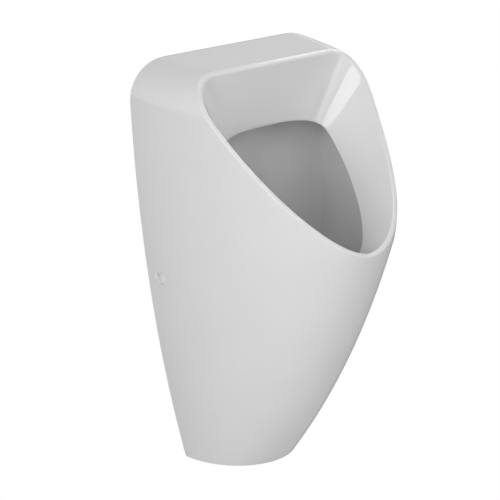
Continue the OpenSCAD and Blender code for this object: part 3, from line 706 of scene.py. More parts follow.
def ring_array(shape, place, spacing, copies, first, rings):
    """Stands copies of a shape, made round the origin, in rings, and carries them to their place."""
    group = bpy.data.node_groups.get("ring_array") or ring_array_group()
    modifier = shape.modifiers.new("ring_array", "NODES")
    modifier.node_group = group
    values = {"Ring Spacing": spacing, "Copies in Ring 1": copies, "First Ring": first, "Rings": rings,
              "Finish": shape.data.materials[0]}
    for item in group.interface.items_tree:
        if item.item_type == "SOCKET" and item.name in values:
            modifier[item.identifier] = values[item.name]
    applied(shape)
    shape.data.transform(place)
    return shape


def length(default, name, description):
    return FloatProperty(
        name=name, description=description, default=default, unit="LENGTH", precision=4, min=0.0)


def whole_number(default, name, description, low, high):
    return IntProperty(name=name, description=description, default=default, min=low, max=high)


def colour(code, name, description):
    return FloatVectorProperty(
        name=name, description=description, default=linear(code)[:3], subtype="COLOR", size=3, min=0, max=1)


class ChinaSizes(bpy.types.PropertyGroup):
    """Sizes of the china"""

    body_h: length(BODY_H, "Height", "Height of the flat top above the base line")
    body_w: length(0.305, "Width", "Width across the sides at the top")
    lip_reach: length(0.298, "Lip Reach", "Reach of the front lip from the wall")
    lip_h: length(0.373, "Lip Height", "Height of the front lip above the base line")
    foot_w: length(0.153, "Foot Width", "Width at the base line")
    foot_reach: length(0.1075, "Foot Reach", "Reach at the base line")
    foot_dip: length(0.0095, "Foot Dip", "How far the bottom edge lies below the base line at the wall")
    foot_lift: length(0.0115, "Foot Lift", "How far the bottom edge lies above the base line at the front")
    top_reach: length(0.097, "Top Depth", "Depth of the flat top from the wall")
    corner_r: length(0.052, "Corner Radius", "Radius of the two top corners")
    skirt_wall: length(0.012, "Skirt Wall", "Thickness of the skirt that hides the trap")
    rim_band: length(0.0055, "Rim Band", "Width of the narrow band round the rim")
    rim_round: length(0.0022, "Rim Rounding", "Rounding of the rim's two edges")
    inner_top_h: length(0.486, "Opening Top Height", "Height of the inner lip at the top of the opening")
    inner_top_reach: length(0.088, "Opening Top Reach", "Reach of the inner lip at the top of the opening")
    inner_front_h: length(0.3535, "Opening Front Height", "Height of the inner lip at the front")
    inner_front_reach: length(0.2575, "Opening Front Reach", "Reach of the inner lip at the front")
    inner_w: length(0.163, "Opening Width", "Width of the opening inside the inner lip")
    collar_wall: length(0.012, "Collar Wall", "Thickness of the collar")
    lip_round: length(0.0016, "Lip Rounding", "Rounding of the inner lip")
    edge_round: length(0.0025, "Edge Rounding", "Rounding of the edges at the wall and at the bottom")
    ceiling_h: length(0.545, "Ceiling Height", "Height of the bowl's ceiling behind the collar")
    back_top_reach: length(0.034, "Back Wall Top Reach", "Reach of the bowl's back wall at the ceiling")
    back_low_reach: length(0.066, "Back Wall Low Reach", "Reach of the bowl's back wall low down")
    turn_h: length(0.268, "Floor Turn Height", "Height at which the bowl starts to turn in to its floor")
    floor_h: length(0.21, "Floor Height", "Height of the bowl's floor at the outlet")
    side_wall: length(0.016, "Side Wall", "Thickness of the side walls beside the bowl")
    front_wall: length(0.014, "Front Wall", "Thickness of the front wall before the bowl")
    floor_wall: length(0.014, "Floor Wall", "Thickness of the floor at the outlet")
    front_carry: length(0.0041, "Front Run-on", "How far the front line runs on above the lip")
    rim_back_out: length(0.077, "Rim Back Handle", "Forward handle of the rim's side line at its back end")
    rim_back_down: length(0.094, "Rim Back Fall", "Downward handle of the rim's side line at its back end")
    rim_front_up: length(0.0216, "Rim Front Rise", "Upward handle of the rim's side line at its front end")
    foot_drop: length(0.018, "Collar Drop", "How far the collar's underside runs down beside the front lip")
    side_drop: length(0.022, "Collar Side Drop", "How far the collar's underside runs down at the sides")
    first_drop: length(0.014, "First Fall", "Fall of the bowl's wall just below the front lip")
    hollow_rise: length(0.027, "Hollow Rise", "Rise of the hollow's roof at the front")
    outlet_reach: length(0.1, "Outlet Reach", "Reach of the outlet's axis from the wall")
    outlet_r: length(0.026, "Outlet Radius", "Radius of the outlet hole")
    flange_r: length(0.035, "Flange Radius", "Radius of the outlet fitting's flange")
    seat_margin: length(0.003, "Seat Margin", "Flat margin of the floor round the flange")
    hub_margin: length(0.007, "Hub Margin", "Flat margin of the hollow's roof round the outlet")
    per_row: whole_number(4, "Detail", "Mesh columns for each row of the shape", 1, 8)


class FixingSizes(bpy.types.PropertyGroup):
    """Sizes of the holes, lugs, brackets, screws and caps"""

    cap_r: length(0.0095, "Cap Radius", "Radius of the cover caps")
    cap_fit: length(0.0003, "Clearance", "Clearance round the caps and in the holes")
    cap_t: length(0.003, "Cap Thickness", "Thickness of the caps")
    cap_crown: length(0.003, "Cap Rise", "Rise of the caps' dome, and the depth of their recess")
    cap_gap: length(0.0009, "Cap Gap", "Shadow gap round the caps")
    flare: length(0.0008, "Recess Rounding", "Rounding of the glaze at the mouth of a cap's recess")
    pocket_r: length(0.0075, "Pocket Radius", "Radius of the screw head's pocket")
    pocket: length(0.008, "Pocket Depth", "Depth of the screw head's pocket")
    bush_r: length(0.005, "Bush Radius", "Radius of the bush")
    bush_flange: length(0.0012, "Bush Flange", "Thickness of the bush's flange")
    screw_r: length(0.003, "Screw Radius", "Radius of the side screw")
    screw_grip: length(0.012, "Screw Grip", "Length of the screw beyond the china")
    screw_pitch: length(0.001, "Screw Pitch", "Pitch of the side screw's thread")
    screw_depth: length(0.0004, "Screw Thread Depth", "Depth of the side screw's thread")
    head_r: length(0.0055, "Head Radius", "Radius of the screw's head")
    head_t: length(0.003, "Head Thickness", "Thickness of the screw's head")
    spot_from: length(0.0144, "Flat Depth", "Depth of the flat inside the skirt below the outer face")
    spot_r: length(0.018, "Flat Radius", "Radius of the flat inside the skirt")
    inlet_r: length(0.0175, "Inlet Radius", "Radius of the inlet hole")
    boss_r: length(0.027, "Boss Radius", "Radius of the inlet boss")
    boss_rear: length(0.014, "Boss Rear", "Reach of the boss's rear face")
    boss_round: length(0.003, "Boss Rounding", "Rounding of the boss inside the bowl")
    lug_w: length(0.036, "Lug Width", "Width of a hanging lug")
    lug_from: length(0.005, "Lug Gap", "Gap between the lug and the wall")
    lug_lip: length(0.007, "Lug Lip", "Thickness of the lug's lip")
    lug_drop: length(0.018, "Lug Drop", "How far the lug's lip hangs down")
    lug_arm: length(0.012, "Lug Arm", "Thickness of the lug's arm")
    lug_into: length(0.032, "Lug Reach", "Reach at which the lug ends in the body")
    lug_round: length(0.002, "Lug Rounding", "Rounding of the lug's edges")
    bracket_t: length(0.003, "Bracket Thickness", "Thickness of the brackets")
    wall_hole_r: length(0.0035, "Wall Hole Radius", "Radius of the wall screw holes")
    hook_hole_spacing: length(0.022, "Hook Hole Spacing", "Spacing of a hook's two holes")
    nip: length(0.003, "Corner Cut", "Slant taken off the corners of the hooks")
    groove: length(0.0007, "Pad Groove", "Depth of the grooves on the pads")
    edge: length(0.0004, "Edge Rounding", "Rounding of the cut edges of steel and rubber")


class InletSizes(bpy.types.PropertyGroup):
    """Sizes of the connector, its nut and the spreader"""

    connector_r: length(0.0155, "Connector Radius", "Radius of the connector")
    connector_bore: length(0.0128, "Connector Bore", "Radius of the connector's bore")
    flange_t: length(0.003, "Flange Thickness", "Thickness of the connector's flange")
    pitch: length(0.0018, "Thread Pitch", "Pitch of the connector's thread")
    depth: length(0.0006, "Thread Depth", "Depth of the connector's thread")
    chamfer: length(0.0012, "Nut Chamfer", "Height of the nut's chamfer at its corners")
    fit: length(0.0003, "Clearance", "Clearance round the connector")
    pipe_r: length(0.009, "Pipe Radius", "Radius of the flush pipe")
    lip: length(0.0012, "Lip Height", "Height of the seal's inner lips")
    spreader_wall: length(0.0025, "Spreader Wall", "Wall of the spreader")
    slot: length(0.0015, "Slot Width", "Width of the spreader's slots")
    edge: length(0.0004, "Edge Rounding", "Rounding of the edges")


class OutletSizes(bpy.types.PropertyGroup):
    """Sizes of the outlet fitting, strainer, trap and waste pipe"""

    outlet_r: length(0.026, "Outlet Radius", "Radius of the outlet hole")
    tail_r: length(0.023, "Tail Radius", "Radius of the outlet fitting's tail")
    wall: length(0.003, "Wall", "Wall of the tail, the trap and the waste pipe")
    flange_t: length(0.0033, "Flange Thickness", "Thickness of the outlet fitting's flange")
    pitch: length(0.0024, "Thread Pitch", "Pitch of the threads")
    depth: length(0.0007, "Thread Depth", "Depth of the threads")
    dome_rise: length(0.0045, "Dome Rise", "Rise of the strainer's dome")
    dome_crown: length(0.002, "Dome Crown", "Rise of the dome's underside")
    dome_t: length(0.001, "Dome Thickness", "Thickness of the dome at its middle")
    strainer_foot: length(0.004, "Strainer Foot", "Width of the strainer's foot ring")
    hole_r: length(0.0026, "Hole Radius", "Radius of the strainer's holes")
    hole_spacing: length(0.008, "Ring Spacing", "Spacing of the rings of holes")
    holes: whole_number(6, "Holes", "Holes in the strainer's first ring", 3, 8)
    dip_r: length(0.0165, "Tube Radius", "Radius of the immersion tube")
    dip_wall: length(0.002, "Tube Wall", "Wall of the immersion tube")
    dip_flange_t: length(0.0015, "Tube Flange", "Thickness of the immersion tube's flange")
    socket_r: length(0.028, "Neck Radius", "Radius of the trap's neck")
    foot_r: length(0.026, "Foot Radius", "Radius of the trap's foot")
    cone_rise: length(0.028, "Cone Height", "Height of the cone at the trap's foot")
    shoulder_drop: length(0.008, "Shoulder Drop", "Drop of the trap's shoulder below the waste flange's top")
    shoulder_h: length(0.008, "Shoulder Height", "Height of the trap's shoulder")
    spigot_r: length(0.024, "Trap Outlet Radius", "Radius of the trap's outlet")
    pipe_r: length(0.02, "Waste Pipe Radius", "Radius of the waste pipe")
    bead_from: length(0.002, "Bead Reach", "Reach of the waste pipe's bead from the wall")
    bead_out: length(0.002, "Bead Height", "Height of the waste pipe's bead")
    nut_lip: length(0.004, "Nut Lip", "Thickness of a nut's lip")
    ribs: whole_number(8, "Ribs", "Finger ribs round a nut", 4, 16)
    rib_out: length(0.002, "Rib Height", "Height of a nut's ribs")
    rib_w: length(0.004, "Rib Width", "Width of a nut's ribs")
    fit: length(0.0003, "Clearance", "Clearance of the sliding fits")
    lip: length(0.0007, "Lip Height", "Height of the tube seal's lips")
    edge: length(0.0005, "Edge Rounding", "Rounding of the edges")


class FinishColours(bpy.types.PropertyGroup):
    """Colours of the finishes"""

    glaze: colour("#E9E9E9", "Glaze", "Colour of the glaze")
    glaze_wave: colour("#EDEDED", "Glaze Waves", "Colour of the glaze on its slow waves")
    bare_china: colour("#DAD6CC", "Bare China", "Colour of the unglazed face against the wall")
    cap_plastic: colour("#E6E6E6", "Cap Plastic", "Colour of the cover caps")
    white_plastic: colour("#F0F0EE", "White Plastic", "Colour of the white plastic pieces")
    rubber: colour("#141414", "Rubber", "Colour of the seals, gaskets and pads")
    chrome: colour("#D9DADC", "Chrome", "Colour of the chromed pieces")
    brass: colour("#C9A45C", "Brass", "Colour of the brass pieces")
    bracket_steel: colour("#B7BABD", "Bracket Steel", "Colour of the brackets on the wall")
    screw_steel: colour("#C9CBCE", "Screw Steel", "Colour of the side screws")


class StageLook(bpy.types.PropertyGroup):
    """Camera and light of the studio"""

    azimuth: FloatProperty(name="Azimuth", description="Turn of the camera to the right of the front",
                           default=math.radians(-37.032), subtype="ANGLE")
    elevation: FloatProperty(name="Elevation", description="Height of the camera above level",
                             default=math.radians(21.813), subtype="ANGLE")
    distance: length(2.0621, "Distance", "Distance from the camera to the point that it looks at")
    lens: FloatProperty(name="Lens", description="Focal length in millimetres", default=115.2, min=1)
    right: FloatProperty(name="Right Shift", description="Aim to the right of the middle of the china",
                         default=-0.0726, unit="LENGTH")
    up: FloatProperty(name="Up Shift", description="Aim above the middle of the china",
                      default=0.0503, unit="LENGTH")
    floor_drop: length(0.237, "Height Above Floor", "Height of the base line above the floor")
    ambient: FloatProperty(name="Ambient", description="Strength of the even light from all round",
                           default=0.0476, min=0)
    box_size: length(1.3, "Soft Box Size", "Side of a soft box")
    box_distance: length(2.4, "Soft Box Distance", "Distance of the soft boxes")
    box_power: FloatProperty(name="Soft Box Power", description="Watts of a soft box at full power",
                             default=20.0, min=0)
    backdrop: colour("#FFFFFF", "Backdrop", "Colour of the floor and backdrop to the camera")
    floor: colour("#F2F2F2", "Floor", "Colour of the light that the floor throws back on the urinal")


MATERIALS = {}


def finish_of(slot):
    """The material of a slot of the record, made once."""
    look = bpy.context.scene.urinal_finish
    makers = {
        "glazed_china": lambda: glaze(look),
        # ABS from a polished mould: white with an even gloss, duller than the glaze
        "cap_plastic": lambda: plain("moulded_white_abs_gloss", look.cap_plastic, 0.22),
        # Polypropylene from a polished mould: a warmer white with a clearer gloss
        "white_plastic": lambda: plain("moulded_white_polypropylene", look.white_plastic, 0.14),
        # EPDM rubber from a rough mould: dull and nearly black
        "black_rubber": lambda: plain("moulded_epdm_rubber", look.rubber, 0.75, spread=0.15),
        # Polished and chromed brass: a cool mirror
        "chrome": lambda: plain("chromed_brass", look.chrome, 0.12, metallic=1.0),
        # Brass as the lathe leaves it: yellow with a soft shine
        "brass": lambda: plain("turned_brass", look.brass, 0.3, metallic=1.0),
        # Zinc plated sheet steel: grey with a blurred shine
        "bracket_steel": lambda: plain("zinc_plated_steel", look.bracket_steel, 0.38, metallic=1.0),
        # Bright zinc plated steel: paler, with a clearer shine
        "screw_steel": lambda: plain("bright_zinc_screw", look.screw_steel, 0.3, metallic=1.0),
    }
    if slot not in MATERIALS:
        MATERIALS[slot] = makers[slot]()
    return MATERIALS[slot]


SLOTS = {part["node"]: part["material_slot"] for part in frame["record"]["subparts"]}


def finish_for(node):
    return finish_of(SLOTS[node])


def add_piece(piece, node):
    """Puts a finished piece on its body in place of its CAD node."""
    outward(piece.data)
    if node != "china_body":
        flat = piece.modifiers.new("flats", "WEIGHTED_NORMAL")
        flat.keep_sharp = True
        shade(piece.data)
        applied(piece)
    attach(piece, frame["nodes"][node]["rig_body"])
    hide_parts(node)


def add_turned(node, name, profile, place, sides=ROUND_SIDES, thread=None):
    """Makes a turned piece and puts it in place of its CAD node."""
    add_piece(turned(name, profile, place, finish_for(node), sides, thread), node)


class URINAL_OT_china(bpy.types.Operator):
    """Makes the glazed china body with its rim, collar, bowl and skirt"""

    bl_idname = "urinal.china"
    bl_label = "China Body"
    flare_rings = 5

    def execute(self, context):
        sizes, fix = context.scene.urinal_china, context.scene.urinal_fixings
        shape = ChinaShape(sizes)
        loops = china_loops(shape, sizes.per_row)
        points = [Vector((p.x, -p.y, p.z + BASE_Z)) for loop in loops for p in loop]
        count = len(loops[0])
        faces = []
        for k in range(len(loops)):
            a, b = k * count, (k + 1) % len(loops) * count
            faces += [(a + r, b + r, b + (r + 1) % count, a + (r + 1) % count) for r in range(count)]
        china = mesh_object("china", points, faces, finish_for("china_body"))
        self.add_boss(china, fix)
        self.add_lugs(china, fix)
        self.cut_holes(china, fix)
        shade(china.data)
        add_piece(china, "china_body")
        return {"FINISHED"}

    def add_boss(self, china, fix):
        place, _, depth = facing_wall("inlet_gasket")
        place = place @ Matrix.Translation((0, 0, depth))
        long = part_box("inlet_gasket")[0].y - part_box("spreader_gasket")[1].y
        boss = rounded([(0, 0, 0), (fix.boss_r, 0), (fix.boss_r, long, fix.boss_round), (0, long, 0)], MM)
        cut_turned(china, "boss", boss, place, "UNION")
        cut_turned(china, "bore", rod(fix.inlet_r, -fix.boss_rear / 2, long + fix.boss_rear), place)

    def add_lugs(self, china, fix):
        """Lips that hang on the wall hooks."""
        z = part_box("hook_pads")[1].z
        near, far, into = fix.lug_from, fix.lug_from + fix.lug_lip, fix.lug_into
        drop, top = fix.lug_drop, fix.lug_drop + fix.lug_arm
        outline = [(near, 0), (far, 0), (far, drop), (into, drop, 0), (into, 2 * drop, 0), (far, top),
                   (near, top)]
        outline = [(p.x, p.y + z) for p in rounded(outline, fix.lug_round)]
        for node in ("hook_bracket_left", "hook_bracket_right"):
            low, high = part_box(node)
            start = (low.x + high.x - fix.lug_w) / 2
            lug = straight("lug", outline, fix.lug_w, from_side(start), china.data.materials[0])
            cut(china, soften(lug, fix.lug_round / 2), "UNION")

    def cut_holes(self, china, fix):
        """A stepped hole for each side screw, with a recess for its cap and a flat for its bracket."""
        mouth, flare, far = fix.cap_r + fix.cap_fit, fix.flare, fix.pocket + 3 * fix.cap_t
        hole = fix.bush_r + fix.cap_fit
        arc = [math.pi / 2 * t / self.flare_rings for t in range(self.flare_rings + 1)]
        profile = (
            [(0, -far), (hole, -far), (hole, -fix.pocket), (fix.pocket_r, -fix.pocket),
             (fix.pocket_r, -fix.cap_crown), (mouth, -fix.cap_crown)]
            + [(mouth + flare * (1 - math.cos(a)), flare * (math.sin(a) - 1)) for a in arc]
            + [(mouth + 1.5 * flare, flare), (0, flare)]
        )
        side_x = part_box("cover_cap_right")[1].x
        for side in (-1, 1):
            place = facing_side(side, side_x) @ OFF_GRID
            cut_turned(china, "side_hole", profile, place)
            spot = rod(fix.spot_r, -fix.spot_from - fix.spot_r / 2, -fix.spot_from)
            cut_turned(china, "spot", spot, place @ OFF_GRID)


class URINAL_OT_fixings(bpy.types.Operator):
    """Makes the hook brackets and pads, and the side brackets, bushes, screws and cover caps"""

    bl_idname = "urinal.fixings"
    bl_label = "Wall Fixings"
    cap_rings = 16

    def execute(self, context):
        fix = context.scene.urinal_fixings
        for node in ("hook_bracket_left", "hook_bracket_right"):
            self.hook(node, fix)
        self.pads(fix)
        self.side_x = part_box("cover_cap_right")[1].x
        for side, word in ((-1, "left"), (1, "right")):
            self.side_bracket(side, word, fix)
            self.bush(side, word, fix)
            self.screw(side, word, fix)
            self.cap(side, word, fix)
        return {"FINISHED"}

    def hook(self, node, fix):
        """A pressed steel hook: plate, shelf and turned-up tip."""
        low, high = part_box(node)
        t, top, shelf, far = fix.bracket_t, high.z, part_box("hook_pads")[0].z, -low.y
        bent = 1.2 * t
        outline = rounded([
            (0, low.z, 0), (t, low.z), (t, shelf - t, t / 3), (far, shelf - t, bent), (far, top),
            (far - t, top), (far - t, shelf, t / 3), (t, shelf, t / 3), (t, top), (0, top, 0)])
        name = node.replace("bracket", "plate")
        hook = straight(name, outline, high.x - low.x, from_side(low.x), finish_for(node))
        middle = (low.x + high.x) / 2
        for up in (-1, 1):
            self.wall_hole(hook, middle, up * fix.hook_hole_spacing / 2, fix)
        for way_x, x in ((1, low.x), (-1, high.x)):
            for way_z, z in ((1, low.z), (-1, top)):
                self.nip(hook, x, z, way_x, way_z, fix)
        add_piece(soften(hook, fix.edge), node)

    def wall_hole(self, plate, x, z, fix):
        """Drills a hole for a wall screw."""
        place = Matrix.Translation((x, 0, z)) @ Matrix.Rotation(math.pi / 2, 4, "X")
        cut_turned(plate, "hole", rod(fix.wall_hole_r, -fix.bracket_t, 2 * fix.bracket_t), place)

    def nip(self, plate, x, z, way_x, way_z, fix):
        """Takes a corner off a plate at a slant."""
        outline = [(x - way_x * MM, z - way_z * MM), (x + way_x * fix.nip, z - way_z * MM),
                   (x - way_x * MM, z + way_z * fix.nip)]
        place = Matrix(((1, 0, 0, 0), (0, 0, -1, MM), (0, 1, 0, 0), (0, 0, 0, 1)))
        depth = 2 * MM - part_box("hook_bracket_left")[0].y
        cut(plate, straight("nip", outline, depth, place, plate.data.materials[0]))

    def pads(self, fix):
        """Rubber pads with a grooved top, on the shelves of the hooks."""
        low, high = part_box("hook_pads")
        step = (high.y - low.y) / 4
        outline = [(-high.y, low.z), (-low.y, low.z), (-low.y, high.z)]
        for k in (3, 2, 1):
            f = -high.y + k * step
            outline += [(f + fix.groove, high.z), (f, high.z - fix.groove), (f - fix.groove, high.z)]
        outline = rounded(outline + [(-high.y, high.z)], fix.edge)
        for word in ("left", "right"):
            near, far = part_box("hook_bracket_" + word)
            material, place = finish_for("hook_pads"), from_side(near.x)
            pad = straight("hook_pad_" + word, outline, far.x - near.x, place, material)
            add_piece(soften(pad, fix.edge), "hook_pads")

    def side_bracket(self, side, word, fix):
        """A bent steel angle: one leg on the wall, the other against the skirt."""
        node = "side_bracket_" + word
        low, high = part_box(node)
        t, far = fix.bracket_t, -low.y
        out, into = (high.x, low.x) if side > 0 else (-low.x, -high.x)
        outline = rounded([
            (into, 0), (out, 0, 1.2 * t), (out, far), (out - t, far), (out - t, t, t / 3), (into, t)])
        outline = [(side * p.x, p.y) for p in outline]
        angle = straight(
            "side_angle_" + word, outline, high.z - low.z, from_above(low.z), finish_for(node))
        cut_turned(angle, "hole", rod(fix.screw_r + fix.cap_fit, -2 * t, t), facing_side(side, out))
        self.wall_hole(angle, side * (out + into) / 2, (low.z + high.z) / 2, fix)
        add_piece(soften(angle, fix.edge), node)

    def bush(self, side, word, fix):
        long = fix.spot_from - fix.pocket
        bore, r, wide = fix.screw_r + fix.cap_fit, fix.bush_r, fix.pocket_r - fix.cap_fit
        high = long + fix.bush_flange
        profile = rounded(
            [(bore, 0), (r, 0), (r, long), (wide, long), (wide, high), (bore, high)], fix.edge / 2)
        place = facing_side(side, self.side_x - fix.spot_from)
        add_turned("side_bushes", "bush_" + word, profile, place, SMALL_SIDES)

    def screw(self, side, word, fix):
        """A socket head screw with a domed head and a rolled thread."""
        start = self.side_x - fix.spot_from - fix.screw_grip
        seat = self.side_x - fix.pocket + fix.bush_flange - start
        top, r, head = seat + fix.head_t, fix.screw_r, fix.head_r
        pitch, depth = fix.screw_pitch, fix.screw_depth
        profile = rounded([(0, 0, 0), (r - depth, 0), (r, pitch), (r, seat), (head, seat),
                           (head, top, fix.head_t / 2), (0, top, 0)], fix.edge / 2)
        thread = Thread(r, pitch, fix.screw_grip + pitch, pitch, depth)
        place = facing_side(side, start)
        screw = turned("screw_" + word, profile, place, finish_for("side_screws"), SMALL_SIDES, thread)
        socket = rod(head / 2, top - fix.head_t / 2, top + fix.head_t)
        cut_turned(screw, "socket", socket, place, sides=6)
        add_piece(screw, "side_screws")

    def cap(self, side, word, fix):
        """A snap-in cap: a round dome whose edge lies in the recess, and a ring behind it."""
        r, crown, top = fix.cap_r - fix.cap_gap, fix.cap_crown, fix.cap_t
        seat = top - crown
        ball = (r * r + crown * crown) / (2 * crown)
        arc = [math.asin(r / ball) * (1 - t / self.cap_rings) for t in range(self.cap_rings)]
        dome = [Vector((ball * math.sin(a), top - ball + ball * math.cos(a))) for a in arc]
        wide, near = fix.pocket_r - fix.cap_fit, fix.head_r + fix.cap_fit
        ring = [(0, seat, 0), (near, seat), (near, -top), (wide, -top), (wide, seat), (r, seat)]
        profile = rounded(ring, fix.edge)[:-1] + dome + [Vector((0, top))]
        place = facing_side(side, self.side_x - fix.cap_t)
        add_turned("cover_cap_" + word, "cap_" + word, profile, place)


class URINAL_OT_inlet(bpy.types.Operator):
    """Makes the brass connector, its nut, gaskets and pipe seal, and the spreader"""

    bl_idname = "urinal.inlet"
    bl_label = "Inlet"
    thread_share = 0.6
    # Radius of the nut's flat face, as a share of its corners' radius
    flat_share = 0.88

    def execute(self, context):
        sizes = context.scene.urinal_inlet
        self.connector(sizes)
        self.nut(sizes)
        self.seal(sizes)
        self.spreader(sizes)
        for node in ("inlet_gasket", "spreader_gasket"):
            place, r, long = facing_wall(node)
            profile = sleeve(sizes.connector_r + sizes.fit, r, long)
            add_turned(node, node.replace("gasket", "washer"), profile, place)
        return {"FINISHED"}

    def connector(self, sizes):
        place, wide, long = facing_wall("inlet_connector")
        bore, r, seat = sizes.connector_bore, sizes.connector_r, long - sizes.flange_t
        soft = 2 * sizes.edge
        profile = rounded([(bore, 0, soft), (r, 0, soft), (r, seat), (wide, seat), (wide, long),
                           (bore, long, soft)], sizes.edge)
        thread = Thread(r, sizes.pitch / 2, self.thread_share * long, sizes.pitch, sizes.depth)
        add_turned("inlet_connector", "spud", profile, place, thread=thread)

    def nut(self, sizes):
        """A hexagon nut with both faces chamfered on the lathe."""
        place, r, long = facing_wall("inlet_nut")
        nut = turned("spud_nut", rod(r, 0, long), place, finish_for("inlet_nut"), 6)
        flat = self.flat_share * r
        rise = 1.5 * (r - flat)
        past = 1.5 * sizes.chamfer
        lathe = [(0, -past), (flat - rise, -past), (flat + rise, past), (flat + rise, long - past),
                 (flat - rise, long + past), (0, long + past)]
        cut_turned(nut, "lathe", lathe, place, "INTERSECT")
        bore = sizes.connector_r + sizes.fit / 3
        deep = sizes.depth
        mouth = bore + 2 * deep
        hole = [(0, -deep), (mouth, -deep), (bore, deep), (bore, long - deep), (mouth, long + deep),
                (0, long + deep)]
        cut_turned(nut, "hole", hole, place @ OFF_GRID)
        add_piece(nut, "inlet_nut")

    def seal(self, sizes):
        """A moulded sleeve with three inner lips that grip the flush pipe."""
        place, r, long = facing_wall("inlet_seal")
        tip, root = sizes.pipe_r, sizes.pipe_r + sizes.lip
        step = long / 3
        inner = []
        for k in (2, 1, 0):
            inner += [(root, (k + 2 / 3) * step), (tip, (k + 1 / 6) * step)]
        profile = rounded([(tip + sizes.lip / 2, 0), (r, 0), (r, long), (root, long)] + inner, sizes.edge)
        add_turned("inlet_seal", "pipe_seal", profile, place)

    def spreader(self, sizes):
        """A chromed cup with slots below, which throw the flush water sideways and down."""
        place, r, long = facing_wall("spreader")
        bore, roof, soft = r - sizes.spreader_wall, long - sizes.spreader_wall, 3 * sizes.edge
        profile = rounded([(0, roof, 0), (bore, roof), (bore, 0), (r, 0), (r, roof, soft),
                           (bore, long, soft), (0, long, 0)], sizes.edge)
        material = finish_for("spreader")
        cup = turned("spreader_cup", profile, place, material)
        lower_half = [(-r, -r - MM), (r, -r - MM), (r, -MM), (-r, -MM)]
        for step in (1, 2, 3):
            up = Matrix.Translation((0, 0, step * long / 5))
            cut(cup, straight("slot", lower_half, sizes.slot, place @ up, material))
        add_piece(soften(cup, sizes.edge / 3), "spreader")


